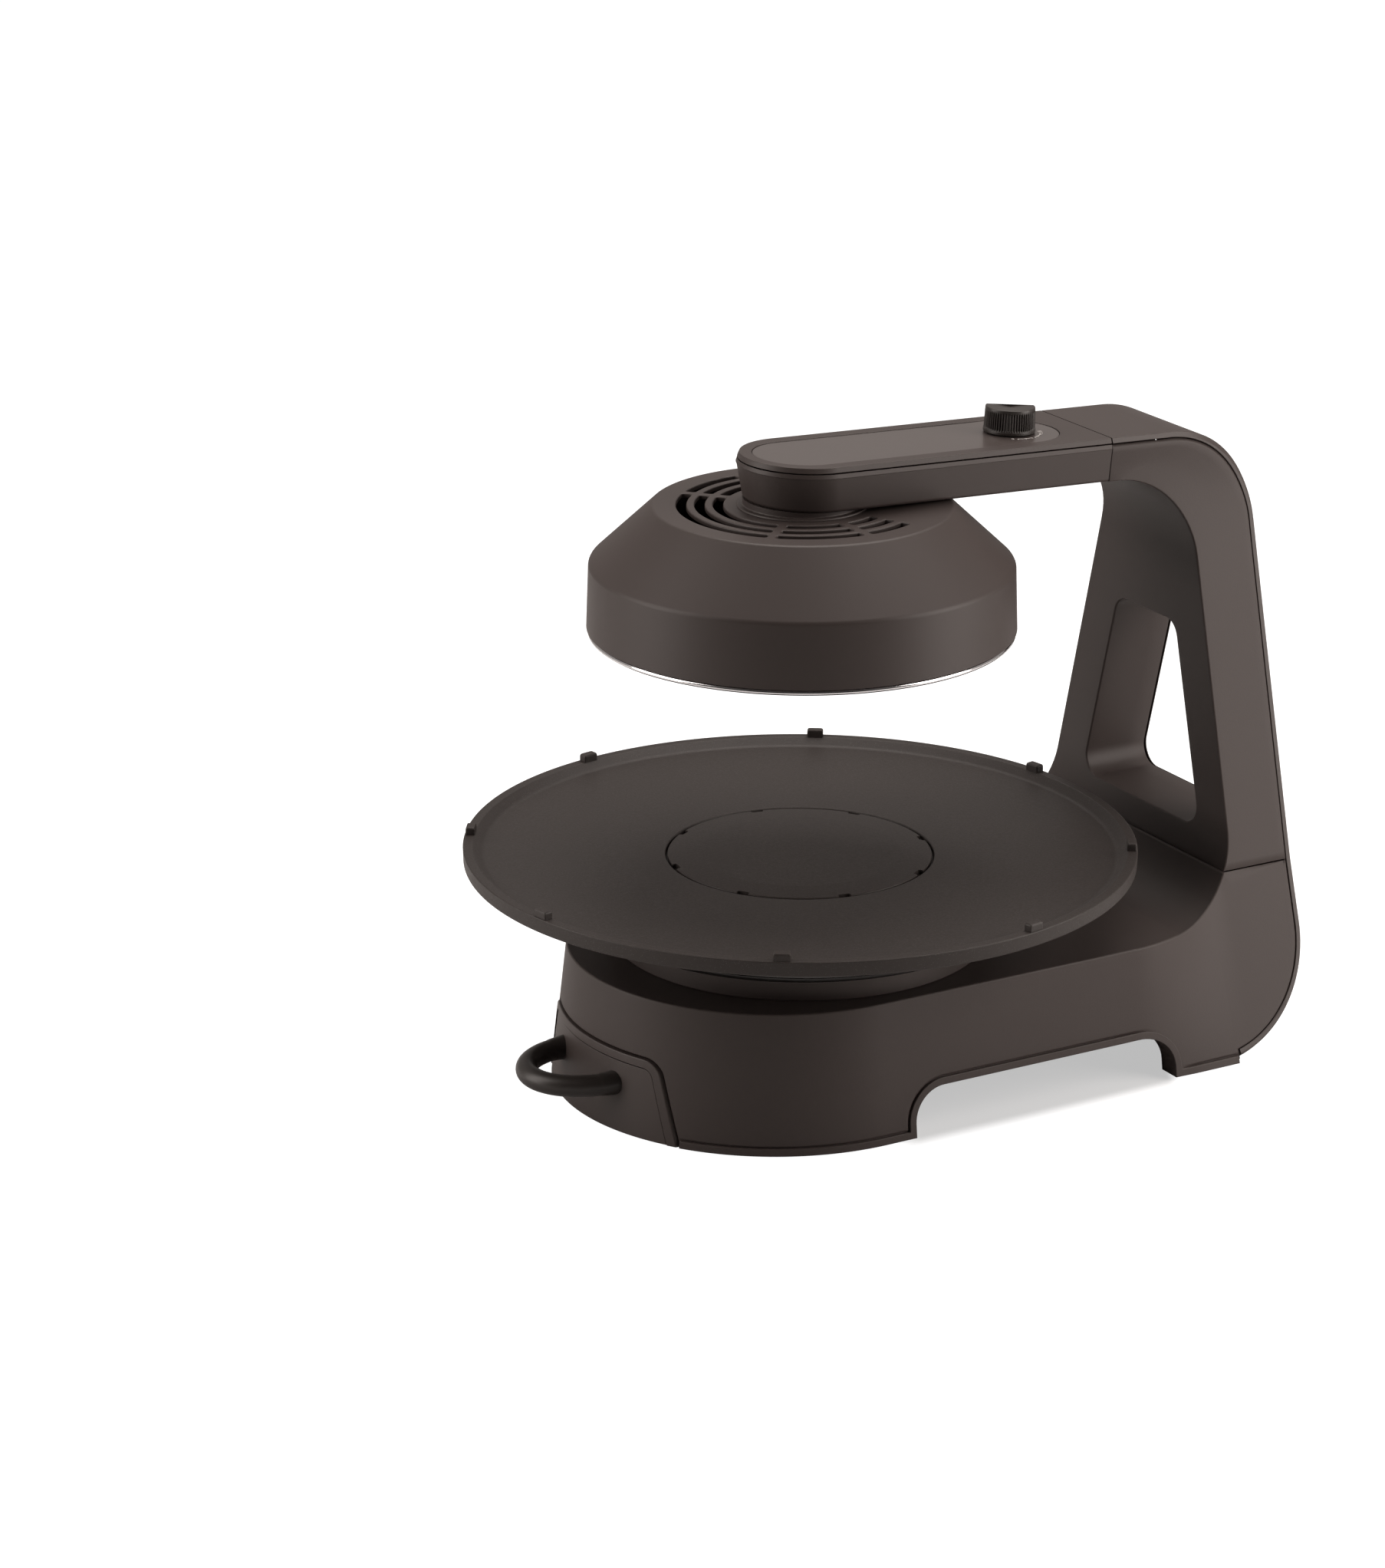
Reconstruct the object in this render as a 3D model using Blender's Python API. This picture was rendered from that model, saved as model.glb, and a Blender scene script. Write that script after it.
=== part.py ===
"""Tabletop infrared grill: a round pan on a turntable under a lamp head on a C-shaped frame.

Units are metres and +Z is up. The model frame has the pan's axis on Z and the lower edge of the base's
skirt at height 0. The front, with the drawer, is towards -X and the post is towards +X. An empty carries
that frame into the part's own frame, whose origin is at the middle of the bounding box's floor.
"""

import math

import bmesh
import bpy
from mathutils import Matrix, Vector

# Clearances
FIT = 0.0003            # between pieces that touch
RUN = 0.0010            # round pieces that turn or slide in one another
WALL = 0.0028           # moulded walls

# Base
BASE_FRONT_X = -0.0185  # centre of the round front
BASE_HALF = 0.1322      # half-width of the base at the floor
BASE_DRAFT = 0.1107     # inward lean of the skirt, metres per metre of height
DECK_Z = 0.0842
SEAM_Z = 0.1107         # joint line between base and post
FOOT_PROUD = 0.0020
FOOT_R = 0.0090
LIP = 0.0045            # height of the raised band round the skirt's edge
EDGE_Z = LIP + 0.0009   # the skirt's own edge, whose inner side dips to just above the band
LIP_PROUD = 0.0008
SPARE = 0.0015          # extra length that a trim takes off again
ARCH_FRONT_X = 0.0017
ARCH_REAR_X = 0.1852
ARCH_H = 0.0285
ARCH_R = 0.0200
ARCH_DEPTH = 0.0150     # how far the arch's lining turns inwards

# Arm
ARM_SEAM_X = 0.1900
ARM_SEAM_Z = 0.3727
ARM_SLOPE = 0.0384      # radians, rising towards the front
ARM_LENGTH = 0.2347
ARM_H = 0.0268
ARM_HALF = 0.0397
ARM_FLOOR_HALF = 0.0375
ARM_NOSE_LEAN = 0.0047
ARM_COVER_T = 0.0067
PANEL_FRONT = 0.2205    # distances from the arm's seam
PANEL_REAR = 0.0180
PANEL_HALF = 0.0285
PANEL_T = 0.0008
KNOB_AT = 0.0480
KNOB_R = 0.0156
KNOB_H = 0.0155
KNOB_FLUTES = 32
KNOB_FLUTE_DEEP = 0.0004
KNOB_FLAT_DEG = 56.0    # the way that the grip's flat faces, from +X towards +Y
KNOB_ARC_DEG = 208.0    # the grip's round side
KNOB_FOOT_Z = 0.0024
SHAFT_R = 0.0030

# Post and its rear cover
POST_FRONT_X = 0.2450
BACK_X = 0.2920
FILLET_R = 0.0500       # inner corners of the C
LOW_CORNER_R = 0.0730
TOP_CORNER_R = 0.0600
POST_SEAM_HALF = 0.0978  # half-width at the joint line
POST_TAPER = 0.2554     # loss of half-width per metre of height
FLARE_TAPER = (BASE_HALF - 0.0001 - POST_SEAM_HALF) / SEAM_Z  # gain of half-width below the joint line
FLARE_START_X = 0.1600
COVER_DEPTH = 0.0062
COVER_BEVEL_IN = 0.0048
COVER_BEVEL_DEEP = 0.0032
COVER_END_X = 0.2345
HOUSING_END_X = COVER_END_X - 0.0020    # where the base's rear edge stops at the floor
WINDOW_LOW_Z = 0.1270
WINDOW_TOP_Z = ARM_SEAM_Z - 0.1232
WINDOW_LOW_HALF = 0.0627
WINDOW_TOP_HALF = 0.0302
WINDOW_R = 0.0120

# Lamp head
HEAD_RIM_R = 0.1259
HEAD_RIM_Z = ARM_SEAM_Z - 0.0964
SHOULDER_R = 0.1245
SHOULDER_Z = HEAD_RIM_Z + 0.0386
CROWN_R = 0.0877
CROWN_Z = HEAD_RIM_Z + 0.0731
HEAD_WALL = 0.0025
VENT_INNER_R = 0.0483
VENT_PITCH = 0.0105
VENT_WIDTH = 0.0062
VENT_RIB = 0.0050
VENT_END_DEG = 64.0
NECK_R = 0.0360
NECK_FLANGE_R = 0.0430
NECK_BORE_R = 0.0120
GUARD_R = 0.1236
GUARD_INNER_R = 0.0400
GUARD_WIRE_R = 0.0016
SPOKE_WIRE_R = 0.0012
HEATER_RADII = (0.0950, 0.0600)
HEATER_TUBE_R = 0.0050
HEATER_Z = HEAD_RIM_Z + 0.0212
DISH_Z = HEAD_RIM_Z + 0.0362         # underside of the reflector's flat middle
DISH_SHEET = 0.0010

# Pan and turntable
PAN_R = 0.2000
PAN_RIM_Z = 0.1425
PAN_SKIRT = 0.0090
PAN_SEAT_Z = 0.1288
PAN_FLOOR_Z = PAN_SEAT_Z + 0.0032
PAN_SPOUT_Z = 0.1180
PAN_WELL_R = 0.0800
PAN_DRAIN_R = 0.0100
LUGS = 8
LUG_FIRST_DEG = 11.4
LUG_WIDTH = 0.0100
LUG_DEEP = 0.0056
LUG_PROUD = 0.0045
DRUM_R = 0.1300
DRUM_Z = 0.1012         # underside of the turntable's sheet
DRUM_SHEET = 0.0030
COLLAR_R = 0.1120
COLLAR_Z = 0.0980
COLLAR_SHEET = 0.0030
SPOUT_Z = 0.0560        # lower end of the collar's spout
HUB_BORE_R = 0.0300
HUB_WALL = 0.0030

# Drawer
DRAWER_TOP_Z = 0.0480
DRAWER_LOW_Z = 0.0020
DRAWER_TOP_HALF = 0.4592 * BASE_HALF
DRAWER_LOW_HALF = 0.5756 * BASE_HALF
DRAWER_CORNER_R = 0.0120
DRAWER_T = 0.0040
DRAWER_PROUD = 0.0010
DRAWER_LIP = 0.0050     # width of the raised edge round the drawer front's field
DRAWER_FIELD = 0.0007   # how deep the field lies below that edge
TRAY_HALF = 0.0430
TRAY_REAR_X = 0.0500
TRAY_TOP_Z = 0.0400
TRAY_FLOOR_Z = 0.0045
TRAY_WALL = 0.0010
TRAY_FLANGE = 0.0029
HANDLE_HALF = 0.0310
HANDLE_Z = 0.0280
HANDLE_REACH = 0.0370
HANDLE_R = 0.0066

# Fasteners
SCREW_R = 0.0018
SCREW_HEAD_R = 0.0038
SCREW_HEAD_T = 0.0024
SCREW_HOLE_R = 0.0021

STEPS = 32              # facets round the large turned pieces
PAN_STEPS = 40
HEAD_STEPS = 32
SMALL_STEPS = 10        # facets round shafts, bosses and screw seats
HOLE_STEPS = 8

PAN_X = -(BACK_X - PAN_R) / 2


def clear_scene():
    """Remove every object, mesh and material that the file opened with."""
    for item in list(bpy.data.objects):
        bpy.data.objects.remove(item, do_unlink=True)
    for block in (bpy.data.meshes, bpy.data.materials):
        for item in list(block):
            block.remove(item)


def look(name, colour, roughness, metallic=0.0):
    """A Principled material of one colour."""
    material = bpy.data.materials.new(name)
    material.use_nodes = True
    shader = material.node_tree.nodes["Principled BSDF"]
    shader.inputs["Base Color"].default_value = (*colour, 1.0)
    shader.inputs["Roughness"].default_value = roughness
    shader.inputs["Metallic"].default_value = metallic
    return material


def empty(name, location, parent=None, rotation=(0.0, 0.0, 0.0)):
    """An empty that carries a frame or stands on a joint's axis."""
    item = bpy.data.objects.new(name, None)
    item.location = location
    item.rotation_euler = rotation
    item.parent = parent
    bpy.context.scene.collection.objects.link(item)
    return item


def finish(name, bm, material, parent):
    """Close a bmesh into a shaded object with its faces pointing out."""
    bmesh.ops.remove_doubles(bm, verts=bm.verts, dist=1e-6)
    bmesh.ops.recalc_face_normals(bm, faces=bm.faces)
    mesh = bpy.data.meshes.new(name)
    bm.to_mesh(mesh)
    bm.free()
    mesh.shade_smooth()
    mesh.set_sharp_from_angle(angle=math.radians(32))
    if material:
        mesh.materials.append(material)
    item = bpy.data.objects.new(name, mesh)
    item.parent = parent
    bpy.context.scene.collection.objects.link(item)
    return item


def hidden(item):
    """Mark a tool body, so that it shapes others and is no piece itself."""
    item.hide_render = True
    item.display_type = "WIRE"
    return item


def combine(target, tool, operation):
    """Add a Boolean of a hidden tool body."""
    hidden(tool)
    modifier = target.modifiers.new(tool.name, "BOOLEAN")
    modifier.operation = operation
    modifier.solver = "EXACT"
    modifier.object = tool


def cut(target, *tools):
    """Take tool bodies out of a piece."""
    for tool in tools:
        combine(target, tool, "DIFFERENCE")


def add(target, *tools):
    """Fuse tool bodies to a piece."""
    for tool in tools:
        combine(target, tool, "UNION")


def arc(cx, cy, radius, start, end, steps):
    """Points along an arc in a plane, angles in degrees."""
    angles = [math.radians(start + (end - start) * i / steps) for i in range(steps + 1)]
    return [(cx + radius * math.cos(a), cy + radius * math.sin(a)) for a in angles]


def rounded(corners, radius, steps=5):
    """A closed outline whose corners are replaced by arcs."""
    points = []
    count = len(corners)
    for i, corner in enumerate(corners):
        here = Vector(corner)
        before = (Vector(corners[i - 1]) - here).normalized()
        after = (Vector(corners[(i + 1) % count]) - here).normalized()
        half = before.angle(after) / 2
        centre = here + (before + after).normalized() * radius / math.sin(half)
        start = here + before * radius / math.tan(half) - centre
        turn = start.angle_signed(here + after * radius / math.tan(half) - centre)
        for k in range(steps + 1):
            points.append(tuple(centre + Matrix.Rotation(-turn * k / steps, 2) @ start))
    return points


def grown(outline, distance):
    """An outline moved outwards by a distance, its corners mitred."""
    area = sum(a[0] * b[1] - b[0] * a[1] for a, b in zip(outline, outline[1:] + outline[:1]))
    side = 1.0 if area > 0 else -1.0
    points = []
    for i, point in enumerate(outline):
        here = Vector(point)
        before = (here - Vector(outline[i - 1])).normalized()
        after = (Vector(outline[(i + 1) % len(outline)]) - here).normalized()
        normal = Vector((before.y + after.y, -before.x - after.x)).normalized() * side
        flat = Vector((before.y, -before.x)) * side
        points.append(tuple(here + normal * distance / max(0.3, normal.dot(flat))))
    return points


def lofted(name, loops, material, parent, closed=False):
    """A skin over loops that have the same number of points, with end caps unless it is closed."""
    bm = bmesh.new()
    rows = [[bm.verts.new(point) for point in loop] for loop in loops]
    pairs = list(zip(rows, rows[1:]))
    if closed:
        pairs.append((rows[-1], rows[0]))
    count = len(rows[0])
    for low, high in pairs:
        for i in range(count):
            k = (i + 1) % count
            bm.faces.new((low[i], low[k], high[k], high[i]))
    if not closed:
        bm.faces.new(rows[0])
        bm.faces.new(rows[-1])
    return finish(name, bm, material, parent)


def prism(name, outline, low, high, material, parent, axis="z"):
    """An outline drawn in the plane across an axis and extruded along it."""
    place = {"z": lambda u, v, t: (u, v, t), "x": lambda u, v, t: (t, u, v), "y": lambda u, v, t: (u, t, v)}
    loops = [[place[axis](u, v, t) for u, v in outline] for t in (low, high)]
    return lofted(name, loops, material, parent)


def box(name, low, high, material, parent):
    """A plain block between two corners."""
    outline = [(low[0], low[1]), (high[0], low[1]), (high[0], high[1]), (low[0], high[1])]
    return prism(name, outline, low[2], high[2], material, parent)


def turned(name, profile, material, parent, steps=STEPS, centre=(0.0, 0.0)):
    """A profile of (radius, height) pairs turned about a vertical axis; closed on itself or on the axis."""
    bm = bmesh.new()
    verts = [bm.verts.new((centre[0] + r, centre[1], z)) for r, z in profile]
    edges = [bm.edges.new(pair) for pair in zip(verts, verts[1:])]
    if profile[0][0] > 0:
        edges.append(bm.edges.new((verts[-1], verts[0])))
    bmesh.ops.spin(bm, geom=verts + edges, cent=(*centre, 0.0), axis=(0, 0, 1), angle=2 * math.pi,
                   steps=steps)
    return finish(name, bm, material, parent)


def cylinders(name, centres, radius, low, high, material, parent, axis="z", steps=SMALL_STEPS):
    """One mesh of equal cylinders along an axis, at points in the plane across it."""
    bm = bmesh.new()
    turn = {"z": Matrix.Identity(4), "x": Matrix.Rotation(math.pi / 2, 4, "Y")}[axis]
    for u, v in centres:
        middle = (low + high) / 2
        place = (u, v, middle) if axis == "z" else (middle, u, v)
        bmesh.ops.create_cone(bm, cap_ends=True, segments=steps, radius1=radius, radius2=radius,
                              depth=high - low, matrix=Matrix.Translation(place) @ turn)
    return finish(name, bm, material, parent)


def holes(name, centres, low, high, parent, axis="z"):
    """Cutters for screw holes from low to high along an axis."""
    return cylinders(name, centres, SCREW_HOLE_R, low, high, None, parent, axis, HOLE_STEPS)


def ring_tube(name, ring_r, tube_r, z, material, parent, steps, sides=6):
    """A round bar bent into a full circle."""
    loops = []
    for i in range(steps):
        a = 2 * math.pi * i / steps
        loops.append([((ring_r + tube_r * math.cos(b)) * math.cos(a), (ring_r + tube_r * math.cos(b)) * math.sin(a),
                       z + tube_r * math.sin(b)) for b in (2 * math.pi * k / sides for k in range(sides))])
    return lofted(name, loops, material, parent, closed=True)


def screw(name, place, length, material, parent, rotation=(0.0, 0.0, 0.0), head=SCREW_HEAD_T):
    """A screw whose shank runs up from its head's seat, turned where a rotation is given."""
    profile = [(0, -head), (SCREW_HEAD_R * 0.8, -head), (SCREW_HEAD_R, -head * 0.4), (SCREW_HEAD_R, 0), (SCREW_R, 0),
               (SCREW_R, length), (0, length)]
    item = turned(name, profile, material, parent, steps=HOLE_STEPS)
    item.location = place
    item.rotation_euler = rotation
    return item


# The C-frame's shape
FILLET_CENTRE = (POST_FRONT_X - FILLET_R, DECK_Z + FILLET_R)
FLARE_END_X = FILLET_CENTRE[0] + math.sqrt(FILLET_R ** 2 - (FILLET_CENTRE[1] - SEAM_Z) ** 2)
LOW_CENTRE = (BACK_X - LOW_CORNER_R, LOW_CORNER_R)


def tangent_centre_z(x, radius, depth):
    """Height of the centre of an arc that touches the arm's top line, moved down by a depth."""
    run = (x - ARM_SEAM_X) * math.sin(ARM_SLOPE)
    return ARM_SEAM_Z - (radius + depth + run) / math.cos(ARM_SLOPE)


LOW_END_DEG = math.degrees(math.asin((COVER_END_X - LOW_CENTRE[0]) / LOW_CORNER_R)) - 90
LOW_STEPS = 6
TOP_STEPS = 6
TOP_CENTRE = (BACK_X - TOP_CORNER_R, tangent_centre_z(BACK_X - TOP_CORNER_R, TOP_CORNER_R, 0.0))
INNER_TOP_CENTRE = (POST_FRONT_X - FILLET_R, tangent_centre_z(POST_FRONT_X - FILLET_R, FILLET_R, ARM_H))


def base_half(z):
    """Half-width of the base, and radius of its front, at a height."""
    return BASE_HALF - BASE_DRAFT * z


def post_half(z):
    """Half-width of the post: a straight taper that eases into the arm's width, and a flare at the foot."""
    taper = POST_TAPER if z > SEAM_Z else FLARE_TAPER
    straight = POST_SEAM_HALF - taper * (z - SEAM_Z)
    ease = 0.003
    return (straight + ARM_HALF + math.hypot(straight - ARM_HALF, ease)) / 2


def side_half(x, z):
    """Half-width of the C-frame's side at a point of its side view."""
    if z > SEAM_Z:
        return post_half(z)
    t = min(1.0, max(0.0, (x - FLARE_START_X) / (FLARE_END_X - FLARE_START_X)))
    blend = t * t * (3 - 2 * t)
    return (1 - blend) * base_half(z) + blend * post_half(z)


def skirt(u, z, out=0.0):
    """A point of the skirt: u is X along the side and goes on round the front as an arc length."""
    radius = base_half(z) + out
    if u >= BASE_FRONT_X:
        return Vector((u, side_half(u, z) + out, z))
    a = (BASE_FRONT_X - u) / BASE_HALF
    return Vector((BASE_FRONT_X - radius * math.sin(a), radius * math.cos(a), z))


def window(extra):
    """The post's opening in the YZ plane, made larger by a margin."""
    corners = [(-WINDOW_LOW_HALF, WINDOW_LOW_Z), (WINDOW_LOW_HALF, WINDOW_LOW_Z),
               (WINDOW_TOP_HALF, WINDOW_TOP_Z), (-WINDOW_TOP_HALF, WINDOW_TOP_Z)]
    return grown(rounded(corners, WINDOW_R), extra)


def drawer_outline(extra):
    """The drawer front seen from the front, in the YZ plane."""
    corners = [(-DRAWER_LOW_HALF, DRAWER_LOW_Z), (DRAWER_LOW_HALF, DRAWER_LOW_Z),
               (DRAWER_TOP_HALF, DRAWER_TOP_Z), (-DRAWER_TOP_HALF, DRAWER_TOP_Z)]
    soft = rounded([corners[2], corners[3], corners[0], corners[1]], DRAWER_CORNER_R)
    top = soft[:len(soft) // 2]
    return grown(top + [corners[0], corners[1]], extra)


def rear_trim(root):
    """A solid that trims the base's rear edges square, clear of the rear cover."""
    radius = LOW_CORNER_R - COVER_DEPTH - FIT
    foot_x = HOUSING_END_X
    foot_z = LOW_CENTRE[1] - math.sqrt(radius ** 2 - (foot_x - LOW_CENTRE[0]) ** 2)
    line = [(foot_x, -0.01), (foot_x, foot_z)] + arc(*LOW_CENTRE, radius, LOW_END_DEG, 0, LOW_STEPS)[1:]
    outline = line + [(line[-1][0], 0.13), (0.33, 0.13), (0.33, -0.01)]
    reach = BASE_HALF + POST_SEAM_HALF
    return prism("trim_base_rear", outline, -reach, reach, None, root, "y")


def base_housing(material, root):
    """The base moulding: skirt, deck and post root, open below and behind, with an arch in each side."""
    rungs = 2
    stations = []
    for u in [BASE_FRONT_X - BASE_HALF * math.pi / 2 * (1 - i / 13) for i in range(13)]:
        stations.append(("arc", u))
    straight = [BASE_FRONT_X, 0.07, FLARE_START_X, 0.178]
    tops = [(x, DECK_Z) for x in straight]
    bottoms = [(x, EDGE_Z) for x in straight]
    top_angle = math.degrees(math.asin((FILLET_CENTRE[1] - SEAM_Z) / FILLET_R))
    fillet = arc(*FILLET_CENTRE, FILLET_R, -90, -top_angle, LOW_STEPS + 2)
    fillet[-1] = (fillet[-1][0], SEAM_Z - FIT / 2)
    inner_r = LOW_CORNER_R - COVER_DEPTH - FIT + SPARE
    foot_x = HOUSING_END_X + SPARE
    foot_z = LOW_CENTRE[1] - math.sqrt(inner_r ** 2 - (foot_x - LOW_CENTRE[0]) ** 2)
    corner = [(foot_x, foot_z)] + arc(*LOW_CENTRE, inner_r, LOW_END_DEG, 0, LOW_STEPS)[1:]
    tops += fillet
    bottoms += [(FILLET_CENTRE[0], EDGE_Z), (foot_x, EDGE_Z)] + corner
    bottoms += [(LOW_CENTRE[0] + inner_r, SEAM_Z - FIT / 2)]
    bm = bmesh.new()
    hoops = []
    for _, u in stations:
        half = [skirt(u, EDGE_Z + (DECK_Z - EDGE_Z) * k / rungs) for k in range(rungs + 1)]
        hoops.append(half)
    for top, bottom in zip(tops, bottoms):
        half = []
        for k in range(rungs + 1):
            x = bottom[0] + (top[0] - bottom[0]) * k / rungs
            z = bottom[1] + (top[1] - bottom[1]) * k / rungs
            half.append(Vector((x, side_half(x, z), z)))
        hoops.append(half)
    rows = []
    for half in hoops:
        mirrored = [Vector((p.x, -p.y, p.z)) for p in reversed(half)]
        rows.append([bm.verts.new(p) for p in half + mirrored])
    for low, high in zip(rows, rows[1:]):
        for i in range(len(low) - 1):
            bm.faces.new((low[i], low[i + 1], high[i + 1], high[i]))
    bmesh.ops.remove_doubles(bm, verts=bm.verts, dist=1e-6)
    if sum(face.normal.z * face.calc_area() for face in bm.faces) < 0:
        bmesh.ops.reverse_faces(bm, faces=bm.faces)
    mesh = bpy.data.meshes.new("base_housing")
    bm.to_mesh(mesh)
    bm.free()
    mesh.shade_smooth()
    mesh.set_sharp_from_angle(angle=math.radians(32))
    mesh.materials.append(material)
    housing = bpy.data.objects.new("base_housing", mesh)
    housing.parent = root
    bpy.context.scene.collection.objects.link(housing)
    shell = housing.modifiers.new("wall", "SOLIDIFY")
    shell.thickness = WALL
    shell.offset = -1.0
    shell.use_even_offset = True
    cut(housing, rear_trim(root))
    cut(housing, prism("cut_drawer_bay", drawer_outline(2 * FIT), -BASE_HALF * 1.6,
                       BASE_FRONT_X - BASE_HALF * 0.6, None, root, "x"))
    cut(housing, turned("cut_deck_hole", [(0, 0.06), (HUB_BORE_R + HUB_WALL + 0.0075, 0.06),
                                          (HUB_BORE_R + HUB_WALL + 0.0075, 0.10), (0, 0.10)], None, root, 28))
    boss_low = PLATE_Z + PLATE_T + FIT
    add(housing, cylinders("base_bosses", BOSSES, BOSS_R, boss_low, DECK_Z - WALL / 2, None, root))
    cut(housing, holes("cut_base_bores", BOSSES, PLATE_Z, boss_low + 0.0191, root))
    for side in (1, -1):
        cut(housing, arch_cutter(side, root))
    return housing


def arch_path(inset):
    """Half outline of the arch in (u, z), its corners round, moved off the opening by an inset."""
    front, rear, top = ARCH_FRONT_X - inset, ARCH_REAR_X + inset, ARCH_H + inset
    radius = ARCH_R + inset
    return ([(front, 0.0)] + arc(front + radius, top - radius, radius, 180, 90, 5)
            + arc(rear - radius, top - radius, radius, 90, 0, 5) + [(rear, 0.0)])


def arch_cutter(side, root):
    """The arch-shaped hole through one side of the skirt, with room for the edge band."""
    outline = arch_path(LIP + FIT)
    outline = [(outline[0][0], -0.01)] + outline[1:-1] + [(outline[-1][0], -0.01)]
    name = "cut_arch_left" if side > 0 else "cut_arch_right"
    inner, outer = base_half(ARCH_H) - 5 * WALL, BASE_HALF + 5 * WALL
    return prism(name, outline, side * inner, side * outer, None, root, "y")


def edge_band(name, side, material, root):
    """The raised band under the skirt: along its edge and over the arch, with the arch's lining behind it."""
    front_u = BASE_FRONT_X - BASE_HALF * math.radians(53.9)
    lead = [(front_u + (BASE_FRONT_X - front_u) * i / 8, 0.0) for i in range(8)] + [(BASE_FRONT_X, 0.0)]
    near, far, end = ARCH_FRONT_X - LIP - 0.001, ARCH_REAR_X + LIP + 0.001, HOUSING_END_X - 0.0012
    tail = [(far + (end - far) * i / 3, 0.0) for i in range(4)]
    path = lead + [(near, 0.0)] + arch_path(0.0) + tail
    loops = []
    for i, (u, z) in enumerate(path):
        here = Vector((u, z))
        before = (here - Vector(path[max(0, i - 1)])) if i else Vector(path[1]) - here
        after = (Vector(path[min(len(path) - 1, i + 1)]) - here) if i < len(path) - 1 else before
        before, after = before.normalized(), after.normalized()
        normal = Vector((-before.y - after.y, before.x + after.x)).normalized()
        normal *= LIP / max(0.5, normal.dot(Vector((-after.y, after.x))))
        outer = here + normal
        on_arch = ARCH_FRONT_X - 1e-6 <= u <= ARCH_REAR_X + 1e-6
        deep = ARCH_DEPTH if on_arch else WALL * 1.3
        loops.append([skirt(u, z, LIP_PROUD), skirt(outer.x, outer.y, LIP_PROUD),
                      skirt(outer.x, outer.y, -deep), skirt(u, z, -deep)])
    loops = [[(p.x, side * p.y, p.z) for p in loop] for loop in loops]
    return lofted(name, loops, material, root)


# Bosses, floor plate and feet
PLATE_Z = ARCH_H + LIP + FIT
PLATE_T = 0.0025
PLATE_REAR_X = 0.2580
BOSS_R = 0.0050
FRONT_BOSS = (BASE_FRONT_X - 0.45 * BASE_HALF, 0.59 * BASE_HALF)
REAR_BOSS = (0.1500, base_half(PLATE_Z) - 0.0365)
BOSSES = [(x, side * y) for x, y in (FRONT_BOSS, REAR_BOSS) for side in (1, -1)]
FRONT_FOOT = (BASE_FRONT_X - 0.5787 * BASE_HALF, 0.50 * BASE_HALF)
REAR_FOOT = (0.2140, side_half(0.2140, PLATE_Z) - 0.0154)
FEET = [(x, side * y) for x, y in (FRONT_FOOT, REAR_FOOT) for side in (1, -1)]
GUIDE_HALF = TRAY_HALF + RUN
GUIDE_WALL = 0.0015
GUIDE_REAR_X = TRAY_REAR_X + TRAY_FLANGE + 2 * FIT
GUIDE_FRONT_X = BASE_FRONT_X - base_half(TRAY_TOP_Z) + 0.0283
RAIL_Z = TRAY_TOP_Z - 0.0012 - FIT


def bottom_plate(material, root):
    """The floor plate: it rests on the arches' linings, carries the feet's legs and has the tray's slot."""
    inset = WALL * 1.12 + 3 * FIT
    half = []
    for u in [BASE_FRONT_X - BASE_HALF * math.pi / 2 * (1 - i / 12) for i in range(13)]:
        half.append(skirt(u, PLATE_Z, -inset))
    for x in (0.07, FLARE_START_X, 0.178, 0.195, 0.21, 0.225, 0.24, PLATE_REAR_X):
        half.append(skirt(x, PLATE_Z, -inset))
    outline = [(p.x, p.y) for p in half] + [(p.x, -p.y) for p in reversed(half[1:])]
    plate = prism("bottom_plate", outline, PLATE_Z, PLATE_Z + PLATE_T, material, root)
    slot = GUIDE_HALF + GUIDE_WALL + FIT
    cut(plate, box("cut_tray_slot", (BASE_FRONT_X - 1.2 * BASE_HALF, -slot, PLATE_Z - 0.01),
                   (GUIDE_REAR_X + GUIDE_WALL + FIT, slot, PLATE_Z + 0.01), None, root))
    add(plate, cylinders("foot_legs", FEET, FOOT_R - 0.001, 3 * FIT, PLATE_Z + PLATE_T / 2, None, root))
    cut(plate, holes("cut_plate_holes", BOSSES, PLATE_Z - 0.003, PLATE_Z + 0.01, root))
    return plate


def drawer_guide(material, root):
    """The channel that the drip tray runs in; the tray's flange slides on the tops of its walls."""
    outer = GUIDE_HALF + GUIDE_WALL
    low, high = (GUIDE_FRONT_X, -outer, 0.0015), (GUIDE_REAR_X + GUIDE_WALL, outer, RAIL_Z)
    guide = box("drawer_guide", low, high, material, root)
    low, high = (GUIDE_FRONT_X - 0.01, -GUIDE_HALF, 0.0030), (GUIDE_REAR_X, GUIDE_HALF, RAIL_Z + 0.02)
    cut(guide, box("cut_guide", low, high, None, root))
    return guide


DRAWER_BACK_R = base_half(HANDLE_Z) + DRAWER_PROUD - DRAWER_T
SCREW_SEAT_X = BASE_FRONT_X - math.sqrt(DRAWER_BACK_R ** 2 - HANDLE_HALF ** 2)
FRONT_REACH_X = BASE_FRONT_X - BASE_HALF * 1.2


def front_shell(name, inner, outer, material, parent):
    """A curved plate that follows the round front, between two distances out of its surface."""
    loops = []
    low, high = -0.004, DRAWER_TOP_Z + 0.008
    for i in range(17):
        a = math.radians(180 - 42 + 84 * i / 16)
        section = []
        for z, extra in ((low, inner), (low, outer), (high, outer), (high, inner)):
            radius = base_half(z) + extra
            section.append((BASE_FRONT_X + radius * math.cos(a), radius * math.sin(a), z))
        loops.append(section)
    return lofted(name, loops, material, parent)


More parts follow.
